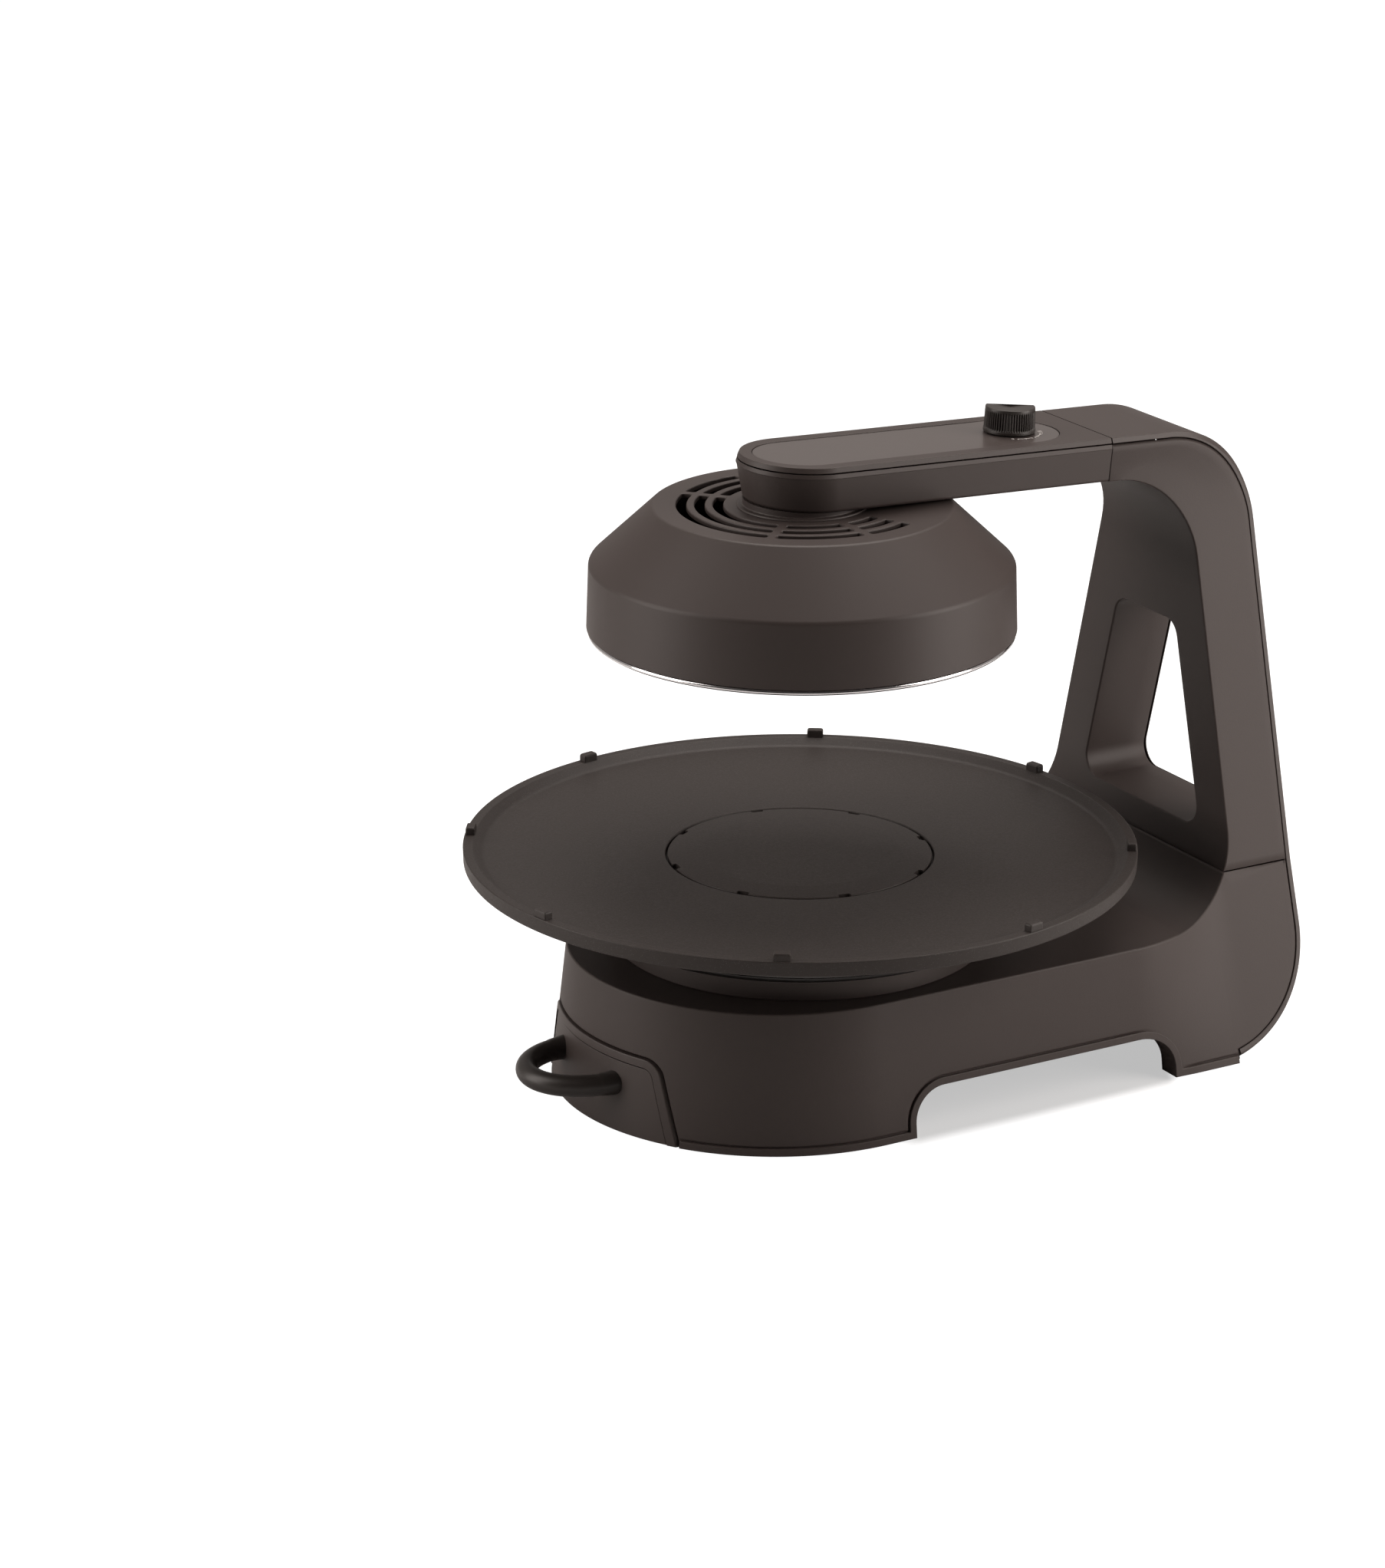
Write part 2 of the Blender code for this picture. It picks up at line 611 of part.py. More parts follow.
def drawer_front(material, parent):
    """The curved drawer front, cut out of the round front's surface, with a raised edge round its field."""
    front = front_shell("drawer_front", DRAWER_PROUD - DRAWER_T, DRAWER_PROUD, material, parent)
    rear = BASE_FRONT_X - BASE_HALF / 2
    shape = prism("shape_drawer_front", drawer_outline(0.0), FRONT_REACH_X, rear, None, parent, "x")
    combine(front, shape, "INTERSECT")
    field = front_shell("cut_drawer_field", DRAWER_PROUD - DRAWER_FIELD, DRAWER_PROUD + 0.005, None, parent)
    inner = [(y, z if z > DRAWER_TOP_Z / 2 else -LIP) for y, z in drawer_outline(-DRAWER_LIP)]
    combine(field, prism("shape_drawer_field", inner, FRONT_REACH_X, rear, None, parent, "x"), "INTERSECT")
    cut(front, field)
    centres = [(-HANDLE_HALF, HANDLE_Z), (HANDLE_HALF, HANDLE_Z)]
    cut(front, cylinders("cut_handle_holes", centres, SCREW_HOLE_R, SCREW_SEAT_X - 0.02, SCREW_SEAT_X + 0.02, None,
                         parent, "x", HOLE_STEPS))
    cut(front, cylinders("cut_screw_seats", centres, SCREW_HEAD_R + FIT, SCREW_SEAT_X, SCREW_SEAT_X + 0.03, None,
                         parent, "x"))
    return front


def tray_outline(margin):
    """Plan of the drip tray: straight sides and a front that follows the drawer front."""
    radius = base_half(TRAY_TOP_Z) + DRAWER_PROUD - DRAWER_T - FIT - TRAY_FLANGE + margin
    half, rear = TRAY_HALF + margin, TRAY_REAR_X + margin
    end = math.degrees(math.asin(half / radius))
    return [(rear, -half), (rear, half)] + arc(BASE_FRONT_X, 0.0, radius, 180 - end, 180 + end, 8)


def drip_tray(material, parent):
    """A thin-walled tray whose flange hangs on the guide's rails."""
    tray = prism("drip_tray", tray_outline(0.0), TRAY_FLOOR_Z, TRAY_TOP_Z - 0.0002, material, parent)
    add(tray, prism("tray_flange", tray_outline(TRAY_FLANGE), TRAY_TOP_Z - 0.0012, TRAY_TOP_Z, None, parent))
    cut(tray, prism("cut_tray", tray_outline(-TRAY_WALL), TRAY_FLOOR_Z + TRAY_WALL, 0.06, None, parent))
    return tray


def handle(material, parent):
    """The D-shaped grip: a bar bent to half an ellipse, slightly thicker where it meets the drawer front."""
    surface = DRAWER_PROUD - DRAWER_FIELD
    root_x = BASE_FRONT_X - math.sqrt((base_half(HANDLE_Z) + surface) ** 2 - HANDLE_HALF ** 2)
    path = [(root_x + 0.008, HANDLE_HALF)]
    path += [(root_x - HANDLE_REACH * math.sin(a), HANDLE_HALF * math.cos(a))
             for a in (math.pi * i / 14 for i in range(15))]
    path.append((root_x + 0.008, -HANDLE_HALF))
    loops = []
    for i, (x, y) in enumerate(path):
        ahead = Vector(path[min(i + 1, len(path) - 1)]) - Vector(path[max(i - 1, 0)])
        side = Vector((ahead.y, -ahead.x)).normalized()
        nearness = max(0.0, 1.0 - abs(x - root_x) / 0.010)
        radius = HANDLE_R * (1 + 0.16 * nearness)
        loops.append([(x + side.x * radius * math.cos(b), y + side.y * radius * math.cos(b),
                       HANDLE_Z + radius * math.sin(b)) for b in (2 * math.pi * k / 10 for k in range(10))])
    grip = lofted("drawer_handle", loops, material, parent)
    cut(grip, front_shell("cut_handle_foot", -2 * HANDLE_R, surface + FIT, None, parent))
    centres = [(-HANDLE_HALF, HANDLE_Z), (HANDLE_HALF, HANDLE_Z)]
    cut(grip, holes("cut_grip_bores", centres, root_x - 0.0095, root_x + 0.01, parent, "x"))
    return grip


def handle_screws(material, parent):
    """Two screws from behind the drawer front into the grip."""
    for i, y in enumerate((-HANDLE_HALF, HANDLE_HALF), 1):
        place = (SCREW_SEAT_X + FIT, y, HANDLE_Z)
        screw(f"handle_screw_{i}", place, 0.0120, material, parent, (0.0, -math.pi / 2, 0.0))


# Post, rear cover and window
def post_stations():
    """Inner and outer points of the C with the outward direction, from the base's joint line to the arm's."""
    pairs = []
    low = SEAM_Z + FIT / 2
    start = math.degrees(math.asin((low - FILLET_CENTRE[1]) / FILLET_R))
    for x, z in arc(*FILLET_CENTRE, FILLET_R, start, 0, 3):
        pairs.append(((x, z), (BACK_X, z), (1.0, 0.0)))
    for i in range(1, 8):
        t = i / 8
        inner = FILLET_CENTRE[1] + (INNER_TOP_CENTRE[1] - FILLET_CENTRE[1]) * t
        outer = FILLET_CENTRE[1] + (TOP_CENTRE[1] - FILLET_CENTRE[1]) * t
        pairs.append(((POST_FRONT_X, inner), (BACK_X, outer), (1.0, 0.0)))
    end = 90 - math.degrees(ARM_SLOPE)
    inner = arc(*INNER_TOP_CENTRE, FILLET_R, 0, end, TOP_STEPS)
    outer = arc(*TOP_CENTRE, TOP_CORNER_R, 0, end, TOP_STEPS)
    pairs += list(zip(inner, outer, arc(0.0, 0.0, 1.0, 0, end, TOP_STEPS)))
    down = Vector((-math.sin(ARM_SLOPE), -math.cos(ARM_SLOPE))) * ARM_H
    seam = Vector((ARM_SEAM_X, ARM_SEAM_Z)) + Vector((math.cos(ARM_SLOPE), -math.sin(ARM_SLOPE))) * FIT / 2
    pairs.append((tuple(seam + down), tuple(seam), (math.sin(ARM_SLOPE), math.cos(ARM_SLOPE))))
    return pairs


def post_shell(material, root):
    """The post's moulding: a front wall and two side walls, open behind, with the window's lining."""
    loops = []
    for inner, outer, out in post_stations():
        inner, outer = Vector(inner), Vector(outer)
        edge = outer - Vector(out) * (COVER_DEPTH + FIT)
        back = inner + (outer - inner).normalized() * WALL
        wi, wo, wb = post_half(inner.y), post_half(edge.y), post_half(back.y)
        loops.append([(edge.x, -wo, edge.y), (inner.x, -wi, inner.y), (inner.x, wi, inner.y), (edge.x, wo, edge.y),
                      (edge.x, wo - WALL, edge.y), (back.x, wb - WALL, back.y), (back.x, WALL - wb, back.y),
                      (edge.x, WALL - wo, edge.y)])
    post = lofted("post_shell", loops, material, root)
    plate_x = BACK_X - COVER_PLATE - FIT
    add(post, prism("window_lining", window(WALL), POST_FRONT_X + 0.0008, plate_x, None, root, "x"))
    boss_r, boss_x = BOSS_R - 0.0008, POST_FRONT_X + 0.001
    add(post, cylinders("post_bosses", COVER_SCREWS, boss_r, boss_x, plate_x, None, root, "x"))
    cut(post, prism("cut_window", window(0.0), POST_FRONT_X - 0.02, BACK_X + 0.02, None, root, "x"))
    cut(post, holes("cut_post_bores", COVER_SCREWS, BACK_X - 0.03, BACK_X + 0.01, root, "x"))
    return post


COVER_WALL = 0.0025
COVER_PLATE = 0.0029
COVER_SEAT_X = BACK_X - 0.0012
UPPER_SCREW = (0.0270, ARM_SEAM_Z - 0.0827)
LOWER_SCREW = (0.0760, SEAM_Z + 0.0273)
COVER_SCREWS = [(side * y, z) for y, z in (UPPER_SCREW, LOWER_SCREW) for side in (-1, 1)]
INLET_Z = 0.0960
INLET_HALF = 0.0145
INLET_TALL = 0.0215


def back_cover(material, root):
    """The rear cover: one bevelled channel over the top corner, down the back and round under the base."""
    line = Vector((math.cos(ARM_SLOPE), -math.sin(ARM_SLOPE)))
    start = Vector((ARM_SEAM_X, ARM_SEAM_Z)) + line * FIT / 2
    path = [(tuple(start), (math.sin(ARM_SLOPE), math.cos(ARM_SLOPE)))]
    turns = arc(0.0, 0.0, 1.0, 90 - math.degrees(ARM_SLOPE), 0, TOP_STEPS)
    path += [((TOP_CENTRE[0] + TOP_CORNER_R * u, TOP_CENTRE[1] + TOP_CORNER_R * v), (u, v)) for u, v in turns]
    for i in range(1, 7):
        path.append(((BACK_X, TOP_CENTRE[1] + (LOW_CENTRE[1] - TOP_CENTRE[1]) * i / 7), (1.0, 0.0)))
    turns = arc(0.0, 0.0, 1.0, 0, LOW_END_DEG, LOW_STEPS)
    path += [((LOW_CENTRE[0] + LOW_CORNER_R * u, LOW_CENTRE[1] + LOW_CORNER_R * v), (u, v)) for u, v in turns]
    loops = []
    for point, out in path:
        point, out = Vector(point), Vector(out)

        def at(depth, inset, sign):
            """A point of the section at a depth below the outer face and an inset from the side."""
            place = point - out * depth
            return place.x, sign * (side_half(place.x, place.y) - inset), place.y
        half = [(COVER_DEPTH, 0.0), (COVER_BEVEL_DEEP, 0.0), (0.0, COVER_BEVEL_IN)]
        hollow = [(COVER_PLATE, COVER_BEVEL_IN + 0.0006), (COVER_DEPTH, COVER_WALL)]
        loops.append([at(d, i, -1) for d, i in half] + [at(d, i, 1) for d, i in reversed(half)]
                     + [at(d, i, 1) for d, i in reversed(hollow)] + [at(d, i, -1) for d, i in hollow])
    cover = lofted("back_cover", loops, material, root)
    cut(cover, prism("cut_cover_window", window(0.0010), BACK_X - 0.02, BACK_X + 0.02, None, root, "x"))
    cut(cover, holes("cut_cover_holes", COVER_SCREWS, BACK_X - 0.012, BACK_X + 0.01, root, "x"))
    seat_r = SCREW_HEAD_R + FIT
    cut(cover, cylinders("cut_cover_seats", COVER_SCREWS, seat_r, COVER_SEAT_X, BACK_X + 0.01, None, root, "x"))
    cut(cover, box("cut_inlet", (BACK_X - 0.02, -INLET_HALF - FIT, INLET_Z - INLET_TALL / 2 - FIT),
                   (BACK_X + 0.01, INLET_HALF + FIT, INLET_Z + INLET_TALL / 2 + FIT), None, root))
    return cover


def power_inlet(body, metal, root):
    """The mains inlet, set into the rear cover, with its three pins in a recess."""
    low, high = INLET_Z - INLET_TALL / 2, INLET_Z + INLET_TALL / 2
    face = BACK_X - 0.0006
    inlet = box("power_inlet", (face - 0.024, -INLET_HALF, low), (face, INLET_HALF, high), body, root)
    corners = [(-0.0120, low + 0.0030), (0.0120, low + 0.0030), (0.0120, high - 0.0085), (0.0075, high - 0.0030),
               (-0.0075, high - 0.0030), (-0.0120, high - 0.0085)]
    cut(inlet, prism("cut_inlet_mouth", corners, face - 0.016, face + 0.01, None, root, "x"))
    for i, (y, dz) in enumerate(((-0.0070, -0.0015), (0.0, 0.0020), (0.0070, -0.0015)), 1):
        box(f"inlet_pin_{i}", (face - 0.0160 + FIT, y - 0.0010, INLET_Z + dz - 0.0025),
            (face - 0.0040, y + 0.0010, INLET_Z + dz + 0.0025), metal, root)


def cover_screws(material, root):
    """Four screws in the rear cover, heads sunk to its face."""
    for i, (y, z) in enumerate(COVER_SCREWS, 1):
        place = (COVER_SEAT_X + FIT, y, z)
        screw(f"cover_screw_{i}", place, 0.0140, material, root, (0.0, -math.pi / 2, 0.0), 0.0009)


# Arm, in its own sloping frame: the seam with the post is at X 0, the nose is towards -X, the top is Z 0
def arm_outline(half, nose, margin=0.0, rear=-FIT / 2):
    """Plan of the arm: straight sides, a round nose and a square rear end."""
    radius = half + margin
    centre = -(nose - half)
    return [(rear, -radius), (rear, radius)] + arc(centre, 0.0, radius, 90, 270, 14)


def arm_lower_shell(material, arm):
    """The arm's tub: floor and side walls, open above and towards the post."""
    nose_low = ARM_LENGTH - ARM_NOSE_LEAN
    loops = [[(x, y, z) for x, y in arm_outline(half, nose)] for half, nose, z in
             ((ARM_FLOOR_HALF - 0.0015, nose_low - 0.0015, -ARM_H), (ARM_FLOOR_HALF, nose_low, -ARM_H + 0.0020),
              (ARM_HALF, ARM_LENGTH, -ARM_COVER_T - FIT))]
    shell = lofted("arm_lower_shell", loops, material, arm)
    hollow = [[(x, y, z) for x, y in arm_outline(half - WALL, nose - WALL, 0.0, 0.01)] for half, nose, z in
              ((ARM_FLOOR_HALF, nose_low, -ARM_H + WALL), (ARM_HALF, ARM_LENGTH, -ARM_COVER_T + 0.002))]
    cut(shell, lofted("cut_arm_tub", hollow, None, arm))
    return shell


def arm_top_cover(material, arm):
    """The arm's lid with a bevelled edge, a recess for the inset panel and a hole for the switch."""
    loops = [[(x, y, z) for x, y in arm_outline(ARM_HALF, ARM_LENGTH, -inset)] for inset, z in
             ((0.0, -ARM_COVER_T), (0.0, -COVER_BEVEL_DEEP), (COVER_BEVEL_IN, 0.0))]
    lid = lofted("arm_top_cover", loops, material, arm)
    hollow = prism("cut_lid_hollow", arm_outline(ARM_HALF, ARM_LENGTH, -WALL - 0.0030, 0.01),
                   -ARM_COVER_T - 0.002, -0.0026, None, arm)
    cut(lid, hollow)
    cut(lid, prism("cut_panel_seat", panel_outline(FIT), -PANEL_T - FIT, 0.01, None, arm))
    cut(lid, cylinders("cut_lid_hole", [(-KNOB_AT, 0.0)], BUSH_R + FIT, -0.01, 0.01, None, arm))
    return lid


def panel_outline(margin):
    """The racetrack of the inset panel."""
    radius = PANEL_HALF + margin
    front, rear = -PANEL_FRONT + PANEL_HALF, -PANEL_REAR - PANEL_HALF
    return arc(rear, 0.0, radius, -90, 90, 12) + arc(front, 0.0, radius, 90, 270, 12)


BUSH_R = 0.0045


def inset_panel(material, arm):
    """The glossy racetrack panel, flush with the lid."""
    panel = prism("inset_panel", panel_outline(0.0), -PANEL_T, 0.0, material, arm)
    cut(panel, cylinders("cut_panel_hole", [(-KNOB_AT, 0.0)], BUSH_R + FIT, -0.01, 0.01, None, arm))
    return panel


def rotary_switch(material, arm):
    """The switch below the knob: a square body and a bush that comes up through the lid."""
    side = 0.0110
    body = box("rotary_switch", (-KNOB_AT - side, -side, -0.0200), (-KNOB_AT + side, side, -0.0026 - FIT),
               material, arm)
    add(body, cylinders("switch_bush", [(-KNOB_AT, 0.0)], BUSH_R, -0.004, -0.0003, None, arm))
    cut(body, cylinders("cut_switch_bore", [(-KNOB_AT, 0.0)], SHAFT_R + FIT, -0.0150, 0.01, None, arm))
    return body


def control_knob(material, arm):
    """The knob: a round foot, a fluted grip that is flat on one side, and its shaft."""
    axis = empty("knob_axis", (-KNOB_AT, 0.0, 0.0), arm)
    points = []
    for i in range(KNOB_FLUTES + 1):
        a = math.radians(KNOB_FLAT_DEG + 180 - KNOB_ARC_DEG / 2 + KNOB_ARC_DEG * i / KNOB_FLUTES)
        radius = KNOB_R - 0.0006 - (KNOB_FLUTE_DEEP if i % 2 else 0.0)
        points.append((radius * math.cos(a), radius * math.sin(a)))
    shrink = 0.965
    loops = [[(x, y, KNOB_FOOT_Z - 0.001) for x, y in points],
             [(x * shrink, y * shrink, KNOB_H - 0.0008) for x, y in points],
             [(x * shrink * 0.95, y * shrink * 0.95, KNOB_H) for x, y in points]]
    knob = lofted("control_knob", loops, material, axis)
    low = 0.0004
    foot = [(0, low), (KNOB_R - 0.0004, low), (KNOB_R, low + 0.0006), (KNOB_R, KNOB_FOOT_Z - 0.0004),
            (KNOB_R - 0.0012, KNOB_FOOT_Z), (0, KNOB_FOOT_Z)]
    add(knob, turned("knob_foot", foot, None, axis, 28))
    add(knob, cylinders("knob_shaft", [(0.0, 0.0)], SHAFT_R, -0.0120, 0.002, None, axis))
    return knob


# Lamp head
def head_profile(inset):
    """The head's outer profile, moved inwards by a wall."""
    soft = 0.0030
    cone = Vector((CROWN_R - SHOULDER_R, CROWN_Z - SHOULDER_Z)).normalized()
    return [(HEAD_RIM_R - inset, HEAD_RIM_Z), (SHOULDER_R - inset, SHOULDER_Z - soft - inset * 0.4),
            (SHOULDER_R - inset + cone.x * soft, SHOULDER_Z + cone.y * soft - inset * 0.6),
            (CROWN_R - cone.x * soft - inset * 0.5, CROWN_Z - cone.y * soft - inset),
            (CROWN_R - soft - inset * 0.4, CROWN_Z - inset)]


def head_housing(material, root):
    """The lamp head's dome, with three rings of vent slots in its crown."""
    outer, inner = head_profile(0.0), head_profile(HEAD_WALL)
    profile = outer + [(NECK_BORE_R, CROWN_Z), (NECK_BORE_R, CROWN_Z - HEAD_WALL)] + inner[::-1]
    head = turned("head_housing", profile, material, root, HEAD_STEPS)
    for ring in range(3):
        cut(head, vent_ring(ring, root))
    cut(head, holes("cut_head_holes", NECK_SCREWS, CROWN_Z - 0.02, CROWN_Z + 0.01, root))
    return head


def vent_ring(ring, root):
    """The arc slots of one ring, parted by ribs of equal width and left out below the arm."""
    inner = VENT_INNER_R + ring * VENT_PITCH
    outer = inner + VENT_WIDTH
    middle = (inner + outer) / 2
    rib = math.degrees(VENT_RIB / 2 / middle)
    bounds = [VENT_END_DEG, 90, 135, 225, 270, 360 - VENT_END_DEG]
    bm = bmesh.new()
    for i, (start, end) in enumerate(zip(bounds, bounds[1:])):
        first = start + (rib if i else 0)
        last = end - (rib if i < len(bounds) - 2 else 0)
        steps = max(2, round((last - first) / 16))
        outline = arc(0, 0, outer, first, last, steps) + arc(0, 0, inner, last, first, steps)
        rows = [[bm.verts.new((x, y, z)) for x, y in outline] for z in (CROWN_Z - 0.008, CROWN_Z + 0.008)]
        count = len(outline)
        for k in range(count):
            n = (k + 1) % count
            bm.faces.new((rows[0][k], rows[0][n], rows[1][n], rows[1][k]))
        bm.faces.new(rows[0])
        bm.faces.new(rows[1])
    return finish(f"cut_vents_{ring + 1}", bm, None, root)


NECK_SCREW_R = 0.0240
NECK_SCREWS = [(NECK_SCREW_R * math.cos(a), NECK_SCREW_R * math.sin(a))
               for a in (math.radians(60 + 120 * i) for i in range(3))]


def arm_underside(x):
    """Height of the arm's underside above a point of the pan's diameter."""
    return ARM_SEAM_Z + (ARM_SEAM_X - x) * math.tan(ARM_SLOPE) - ARM_H / math.cos(ARM_SLOPE)


def neck_ring(material, root):
    """The ring between head and arm: a flat flange on the crown and a core cut to the arm's slope."""
    low, high = CROWN_Z + FIT, CROWN_Z + 0.0015
    profile = [(NECK_BORE_R, low), (NECK_FLANGE_R, low), (NECK_FLANGE_R - 0.0008, high), (NECK_R, high),
               (NECK_R, CROWN_Z + 0.010), (NECK_BORE_R, CROWN_Z + 0.010)]
    neck = turned("neck_ring", profile, material, root, 20)
    reach = 0.06
    top = ARM_SEAM_Z + ARM_H
    outline = [(-reach, arm_underside(-reach) - FIT), (reach, arm_underside(reach) - FIT), (reach, top),
               (-reach, top)]
    cut(neck, prism("cut_neck_slope", outline, -reach, reach, None, root, "y"))
    cut(neck, holes("cut_neck_holes", NECK_SCREWS, CROWN_Z - 0.02, CROWN_Z + 0.02, root))
    return neck


def reflector(material, root):
    """The spun dish above the heaters; its rim seats on the head's wall."""
    rim = HEAD_RIM_R - HEAD_WALL - FIT - 0.0004
    outer, inner = HEATER_RADII
    under = [(rim, HEAD_RIM_Z + 0.0067), (rim - 0.0077, HEAD_RIM_Z + 0.0087), (outer + 0.0135, HEATER_Z + 0.0025),
             (outer - HEATER_TUBE_R, DISH_Z - 0.0040), (inner / 2, DISH_Z), (0.0080, DISH_Z)]
    profile = under + [(r - (DISH_SHEET if i in (1, 2) else 0), z + DISH_SHEET)
                       for i, (r, z) in reversed(list(enumerate(under)))]
    return turned("reflector", profile, material, root, HEAD_STEPS)


def heaters(tube, ceramic, root):
    """Two ring-shaped heating tubes and the ceramic stands that hold them."""
    names = ("heater_tube_outer", "heater_tube_inner")
    for name, ring_r in zip(names, HEATER_RADII):
        ring_tube(name, ring_r, HEATER_TUBE_R, HEATER_Z, tube, root, 24)
    for i in range(3):
        near, far = HEATER_RADII[1] - 2 * HEATER_TUBE_R, HEATER_RADII[0] + 0.0085
        stand = box(f"heater_stand_{i + 1}", (near, -0.0040, HEATER_Z - 0.0068), (far, 0.0040, HEATER_Z + 0.0042),
                    ceramic, root)
        stand.rotation_euler = (0.0, 0.0, math.radians(60 + 120 * i))
        for k, ring_r in enumerate(HEATER_RADII):
            cut(stand, ring_tube(f"cut_stand_{i + 1}_{k + 1}", ring_r, HEATER_TUBE_R + FIT, HEATER_Z, None, root, 24))


def wire_guard(material, root):
    """The chrome guard: an outer ring under the head's rim, two inner rings and six spokes."""
    z = HEAD_RIM_Z - FIT - GUARD_WIRE_R
    sides = 5
    guard = ring_tube("wire_guard", GUARD_R, GUARD_WIRE_R, z, material, root, STEPS, sides)
    bm = bmesh.new()
    for i in range(6):
        a = math.radians(21 + 60 * i)
        middle = (GUARD_INNER_R - 0.0020 + GUARD_R) / 2
        place = Matrix.Rotation(a, 4, "Z") @ Matrix.Translation((middle, 0, z)) @ Matrix.Rotation(math.pi / 2, 4, "Y")
        bmesh.ops.create_cone(bm, cap_ends=True, segments=sides, radius1=SPOKE_WIRE_R, radius2=SPOKE_WIRE_R,
                              depth=GUARD_R - GUARD_INNER_R + 0.0020, matrix=place)
    add(guard, finish("guard_spokes", bm, None, root))
    for k, ring_r in enumerate((2 * GUARD_INNER_R, GUARD_INNER_R)):
        add(guard, ring_tube(f"guard_ring_{k + 1}", ring_r, GUARD_WIRE_R, z, None, root, 20 - 8 * k, sides))
    return guard


def neck_screws(material, root):
    """Three screws from inside the head up through the neck into the arm."""
    for i, centre in enumerate(NECK_SCREWS, 1):
        screw(f"neck_screw_{i}", (*centre, CROWN_Z - HEAD_WALL - FIT), 0.0125, material, root)


# Pan, turntable and collar
def collar(material, root):
    """The fixed collar on the deck, with the spout that leads the fat down to the tray."""
    bore = HUB_BORE_R + HUB_WALL + 3 * RUN
    low, top, sheet = DECK_Z + FIT, COLLAR_Z, COLLAR_SHEET
    profile = [(bore, SPOUT_Z), (bore + sheet, SPOUT_Z), (bore + sheet, low), (bore + 3 * sheet, low),
               (bore + 3 * sheet, top - sheet), (COLLAR_R - 0.0040, top - sheet), (COLLAR_R - 0.0040, low),
               (COLLAR_R, low), (COLLAR_R, top - 0.0015), (COLLAR_R - 0.0015, top), (bore, top)]
    return turned("turntable_collar", profile, material, root)


def bearing_ring(material, root):
    """The plain ring that the turntable runs on."""
    low, high = COLLAR_Z + FIT, DRUM_Z - FIT
    inner, outer = 2 * HUB_BORE_R, 2 * HUB_BORE_R + 0.0160
    section = [(inner, low), (outer, low), (outer, high), (inner, high)]
    return turned("bearing_ring", section, material, root, 24)


def turntable(material, parent):
    """The glossy drum that turns under the pan, with its hub in the collar's spout."""
    low, top, sheet = DRUM_Z, PAN_SEAT_Z - FIT, DRUM_SHEET
    spout, collar_top = SPOUT_Z + 0.0140, PAN_SPOUT_Z + 0.0020
    profile = [(HUB_BORE_R, spout), (HUB_BORE_R + HUB_WALL, spout), (HUB_BORE_R + HUB_WALL, low)]
    profile += [(DRUM_R - 0.0060, low), (DRUM_R - 0.0025, low + 0.0010), (DRUM_R - 0.0006, low + 0.0035),
                (DRUM_R, low + 0.0070), (DRUM_R, top), (DRUM_R - 0.0110, top), (DRUM_R - 0.0110, top - sheet),
                (DRUM_R - sheet, top - sheet), (DRUM_R - sheet, low + 0.0070), (DRUM_R - 0.0060, low + sheet),
                (HUB_BORE_R + HUB_WALL, low + sheet), (HUB_BORE_R + HUB_WALL, collar_top), (HUB_BORE_R, collar_top)]
    return turned("turntable_drum", profile, material, parent)


def grill_pan(material, parent):
    """The cast pan: a shallow dish, a well for the drain cover, a spout and eight lugs on the rim."""
    floor, wall = PAN_FLOOR_Z, 0.0030
    profile = [(PAN_DRAIN_R, floor), (PAN_WELL_R - 0.0006, floor + 0.0005), (PAN_WELL_R, floor + 0.0030),
               (PAN_R - 0.0120, floor + 0.0058), (PAN_R - 0.0058, PAN_RIM_Z), (PAN_R, PAN_RIM_Z),
               (PAN_R, PAN_RIM_Z - PAN_SKIRT + 0.001), (PAN_R - 0.0015, PAN_RIM_Z - PAN_SKIRT),
               (PAN_R - 0.0100, PAN_RIM_Z - PAN_SKIRT), (DRUM_R + 0.0100, floor - 0.0008),
               (DRUM_R - 0.0020, PAN_SEAT_Z), (PAN_DRAIN_R + wall, PAN_SEAT_Z), (PAN_DRAIN_R + wall, PAN_SPOUT_Z),
               (PAN_DRAIN_R, PAN_SPOUT_Z)]
    pan = turned("grill_pan", profile, material, parent, PAN_STEPS)
    bm = bmesh.new()
    inner = (PAN_R - 0.0004) * math.cos(math.pi / PAN_STEPS) - LUG_DEEP
    for i in range(LUGS):
        turn = Matrix.Rotation(math.radians(LUG_FIRST_DEG + 360 / LUGS * i), 4, "Z")
        rows = []
        for half, z in ((LUG_WIDTH / 2, PAN_RIM_Z - 0.0025), (LUG_WIDTH / 2, PAN_RIM_Z + LUG_PROUD - 0.0012),
                        (LUG_WIDTH / 2 - 0.0012, PAN_RIM_Z + LUG_PROUD)):
            loop = [(inner, -half), (inner + LUG_DEEP, -half), (inner + LUG_DEEP, half), (inner, half)]
            rows.append([bm.verts.new(turn @ Vector((x, y, z))) for x, y in loop])
        for low, high in zip(rows, rows[1:]):
            for k in range(4):
                n = (k + 1) % 4
                bm.faces.new((low[k], low[n], high[n], high[k]))
        bm.faces.new(rows[0])
        bm.faces.new(rows[-1])
    add(pan, finish("rim_lugs", bm, None, parent))
    return pan


